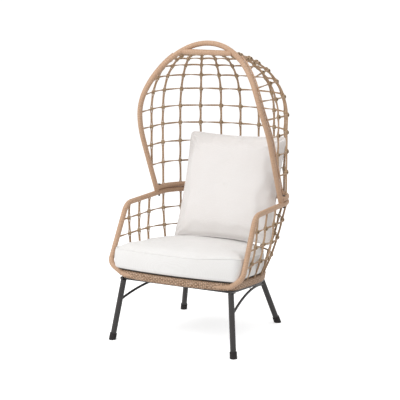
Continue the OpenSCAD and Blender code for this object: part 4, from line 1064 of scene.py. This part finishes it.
def seatPadRings():      # plan and height of each ring, from below the middle to the top's middle
    look = seatPad
    edge = seatPadEdge()
    middle = np.array([0, look["middleY"]])
    way = np.roll(edge, -1, axis=0) - np.roll(edge, 1, axis=0)
    aside = np.stack([way[:, 1], -way[:, 0]], axis=1) / np.linalg.norm(way, axis=1)[:, None]
    insets, heights = np.array(look["side"]).T
    rings = [((edge - aside * insets[0] - middle) * share + middle, heights[0])
             for share in np.linspace(0.03, 1, look["lowRings"] + 1)[:-1]]
    for spot in np.linspace(0, len(insets) - 1, look["sideRings"]):
        inset, height = (np.interp(spot, np.arange(len(insets)), values) for values in (insets, heights))
        rings.append((edge - aside * inset, height))
    for share in np.linspace(0.022, 0.97, look["topRings"]):
        rise = np.interp(share, look["topShares"], look["topRises"])
        rings.append((middle + (edge - middle) * (1 - share), look["height"] + look["crown"] * rise))
    return rings


def heightOverRim(co):
    return (co - Vector(onSeat(co.x, co.y, chair["bandH"] / 2))).z


def dentSeatPad(mesh):   # soft unevenness; the top under the pillow, the base and the seam keep their place
    look = seatPad
    middleY, runY, topFrom = look["underPillow"]
    normals = [vert.normal.copy() for vert in mesh.vertices]
    for vert, normal in zip(mesh.vertices, normals):
        up = heightOverRim(vert.co)
        still = math.exp(-((vert.co.y - middleY) / runY) ** 2) if up > topFrom else 0
        still += 1 if up < look["stillBase"] else 0
        still += math.exp(-((up - look["height"]) / look["seamRun"]) ** 2) if vert.co.y < -0.2 else 0
        place = vert.co * look["dentScale"]
        wave = noise.noise(place) + 0.4 * noise.noise(place * 2.3)
        vert.co += normal * (look["dent"] * max(1 - still, 0) * wave)
    mesh.update()


def makeSeatPad():
    look = seatPad
    rings = seatPadRings()
    count = len(rings[0][0])
    points = [seatPadPoint(x, y, height) for plan, height in rings for x, y in plan]
    last = len(points) - count
    faces = ringFaces(len(rings), count)[:last]          # all but the ring that would close it
    faces += [tuple(range(count - 1, -1, -1)), tuple(range(last, len(points)))]
    pad = meshPiece("seatPad", points, faces, cushionCloth)
    pad.data.materials.append(cushionUnderShade)
    dentSeatPad(pad.data)
    # faces below baseTop get the near-black cloth, painted shade under the cushion
    for face in pad.data.polygons:
        face.material_index = int(heightOverRim(face.center) < look["baseTop"])
    middle, seamZ = np.array([0, look["middleY"]]), look["height"] + look["pipingUp"]
    seam = [seatPadPoint(*(middle + (plan - middle) * look["pipingIn"]), seamZ) for plan in seatPadEdge()]
    addCord(pad, seam, look["pipingR"])
    settle(pad, "seat_cushion", "cushion_cloth", "seat_cushion")


makeSeatPad()
print("seat cushion filled")


def pillowPlace():       # turns and moves the pillow's own frame into the chair's
    turn, tip, lean = (math.radians(-backPad[k]) for k in ("turn", "tip", "lean"))
    top = onSeat(0, backPad["y"], chair["bandH"] / 2 + seatPad["height"] + seatPad["crown"])
    return (Matrix.Translation((backPad["x"], backPad["y"], top[2] - backPad["sink"]))
            @ Matrix.Rotation(turn, 4, "Z") @ Matrix.Rotation(tip, 4, "Y") @ Matrix.Rotation(lean, 4, "X"))


def pillowSwell(u, v):   # 1 in the middle, 0 at the rim
    return max((1 - u ** 4) * (1 - v ** 4), 0)


def pillowWrinkle(u, v):         # height of the cloth's folds, in metres
    look = backPad
    half = look["w"] / 2
    folds = 0
    for edgeDistance, along, seed in ((1 - abs(v), u, 1 if v > 0 else 2), (1 - abs(u), v, 3 if u > 0 else 4)):
        reach, place = edgeDistance * half, along * half
        drift = noise.noise(Vector((place * 14, seed * 7.0, 0)))
        strength = max(0.55 + 1.5 * noise.noise(Vector((place * 9, seed * 3.0, 5))), 0)
        slant = place + look["puckerSlant"] * reach * math.sin(along * 4 + seed)
        phase = 2 * math.pi * slant / look["puckerPitch"] + 5 * drift
        groove = math.exp(-look["puckerSharp"] * (1 - math.cos(phase)))
        fade = math.exp(-reach / look["puckerRun"]) * min(1, reach / look["puckerStart"])
        folds -= look["pucker"][seed - 1] * strength * (groove - 0.2) * fade
    for cornerU, cornerV in ((-1, 1), (1, 1), (-1, -1), (1, -1)):
        du, dv = (u - cornerU) * cornerU, (v - cornerV) * cornerV
        angle = math.atan2(-dv, -du)
        ring = math.exp(-((math.hypot(du, dv) * half - look["creaseAt"]) / look["creaseRun"]) ** 2)
        inside = math.sin(math.pi * min(max(angle / (math.pi / 2), 0), 1))
        folds += look["crease"] * math.sin(look["creases"] * angle + 2 * cornerU) * ring * inside
    soft = noise.noise(Vector((u * 1.7 + 3, v * 1.5, 0.4)))
    soft += 0.5 * noise.noise(Vector((u * 3.8, v * 3.1 + 2, 1.4)))
    return folds + look["dent"] * soft * (1 - u ** 4) * (1 - v ** 4)


def pillowFace(u, v, side):
    look = backPad
    w, h, t = (look[k] / 2 for k in "wht")
    swell = pillowSwell(u, v)
    thick = max(t - look["inset"], 0) * swell ** look["fill"]
    if side > 0:
        thick -= look["inset"] * swell
    ear = 1
    if v > 0:                    # rounds the upper corners
        ear = (abs(u) ** look["ear"] + abs(v) ** look["ear"] + 1e-9) ** (1 / look["ear"])
        ear = max(ear / max(abs(u), abs(v), 0.01), 1)
    return Vector((u * w * (1 - look["pull"] * (1 - v * v)) / ear, side * thick,
                   h + v * h * (1 - look["pull"] * (1 - u * u)) / ear))


def makeBackPad():
    n = backPad["cells"]
    place = pillowPlace()
    forward = place.to_3x3() @ Vector((0, -1, 0))
    shares = [math.sin(math.radians(-90 + 180 * i / n)) for i in range(n + 1)]
    rim = [(i, 0) for i in range(n)] + [(n, j) for j in range(n)]
    rim += [(i, n) for i in range(n, 0, -1)] + [(0, j) for j in range(n, 0, -1)]
    points, index = [], {}
    for side in (-1, 1):
        for i, u in enumerate(shares):
            for j, v in enumerate(shares):
                if side > 0 and (i in (0, n) or j in (0, n)):
                    index[side, i, j] = index[-1, i, j]
                    continue
                index[side, i, j] = len(points)
                points.append(place @ pillowFace(u, v, side))
    faces = []
    for side in (-1, 1):
        for i in range(n):
            for j in range(n):
                quad = [index[side, i + a, j + b] for a, b in ((0, 0), (1, 0), (1, 1), (0, 1))]
                faces.append(quad if side < 0 else quad[::-1])
    pad = meshPiece("backPad", points, faces, pillowCloth)
    seam = sorted(index[-1, i, j] for i, j in rim)
    free = np.zeros(len(points))
    free[:(n + 1) ** 2] = 1              # the front comes first; the back keeps clear of the hood
    free[seam] = 0
    inflate(pad, backPad, seam, free)
    for i, u in enumerate(shares):       # the folds lie on the filled form
        for j, v in enumerate(shares):
            fold = pillowWrinkle(u, v) * min(1, pillowSwell(u, v) * 8)
            pad.data.vertices[index[-1, i, j]].co += forward * fold
    pad.data.update()
    seamPoints = [np.array(points[index[-1, i, j]]) for i, j in rim]
    addCord(pad, densified(seamPoints + seamPoints[:1], chair["pathStep"])[0][:-1], backPad["pipingR"], 6)
    settle(pad, "back_pillow", "pillow_cloth", "back_pillow")


makeBackPad()
print("pillow filled")

# finishes of the pieces that stay as built

finishes = {
    "leg_": charcoal, "side_rail": charcoal, "front_cross": charcoal, "rear_cross": charcoal,
    "side_brace": charcoal, "seat_support": charcoal, "foot_": rubber, "seat_bolts": plated,
    # the straps' black webbing is partly their own colour and partly painted shade in the gap under the
    # cushion
    "seat_straps": webbing, "hood_bolts": blackSteel, "hood_nuts": blackSteel,
}
for name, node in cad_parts.items():
    chosen = next((finishes[start] for start in finishes if name.startswith(start)), None)
    if chosen is None and name.endswith("_tube"):
        chosen = bareSteel
    if chosen is not None:
        node.data.materials.clear()
        node.data.materials.append(chosen)

# floor, light and camera

studio = {"floor": 0.88, "floorSize": 90.0, "glow": 0.62, "ambient": 0.50, "aim": (0, 0, 0.7)}
lamps = {     # place, size and power
    "keyLamp": ((-2.0, -3.4, 3.2), 2.2, 114),
    "fillLamp": ((3.4, -2.2, 2.4), 2.8, 22),
    "topLamp": ((0.3, 0.6, 3.9), 2.6, 34),
}
view = {"place": (2.8207, -5.5506, 1.8836), "yaw": 27.26, "pitch": -11.13, "focal": 1286, "frame": 400}


def seenRays(tree):      # 1 for what the camera sees, also in reflections and through glass
    rays = put(tree, "ShaderNodeLightPath").outputs
    seen = calc(tree, "MAXIMUM", rays["Is Camera Ray"], rays["Is Glossy Ray"])
    return calc(tree, "MAXIMUM", seen, rays["Is Transmission Ray"])


def floorMaterial():
    material, tree, shader = newMaterial("paleFloor", Roughness=0.9, Specular_IOR_Level=0.1)
    shader.inputs["Base Color"].default_value = (studio["floor"],) * 3 + (1,)
    strength = calc(tree, "MULTIPLY", seenRays(tree), studio["glow"])
    glow = put(tree, "ShaderNodeEmission", {"Color": (1, 1, 1, 1), "Strength": strength})
    both = put(tree, "ShaderNodeAddShader", {0: shader.outputs[0], 1: glow.outputs[0]})
    tree.links.new(both.outputs[0], tree.nodes["Material Output"].inputs["Surface"])
    return material


reach = studio["floorSize"]
corners = [(x * reach, y * reach, 0) for x, y in ((-1, -1), (1, -1), (1, 1), (-1, 1))]
floor = meshPiece("floor", corners, [(0, 1, 2, 3)], floorMaterial(), False)

scene.world = bpy.data.worlds.new("studio")
scene.world.use_nodes = True
sky = scene.world.node_tree
background = sky.nodes["Background"]
background.inputs["Color"].default_value = (1, 1, 1, 1)
strength = calc(sky, "MULTIPLY_ADD", seenRays(sky), 1 - studio["ambient"], studio["ambient"])
sky.links.new(strength, background.inputs["Strength"])

for name, (place, size, power) in lamps.items():
    lamp = bpy.data.lights.new(name, "AREA")
    lamp.shape = "SQUARE"
    lamp.size = size
    lamp.energy = power
    holder = bpy.data.objects.new(name, lamp)
    scene.collection.objects.link(holder)
    holder.location = place
    holder.rotation_euler = (Vector(studio["aim"]) - Vector(place)).to_track_quat("-Z", "Y").to_euler()

camera = bpy.data.objects.new("camera", bpy.data.cameras.new("camera"))
scene.collection.objects.link(camera)
camera.location = view["place"]
camera.rotation_euler = (math.radians(90 + view["pitch"]), 0, math.radians(view["yaw"]))
camera.data.sensor_width = 36
camera.data.lens = view["focal"] / view["frame"] * camera.data.sensor_width
camera.data.clip_end = 100
scene.camera = camera
scene.view_settings.view_transform = "Standard"
print("stage set")
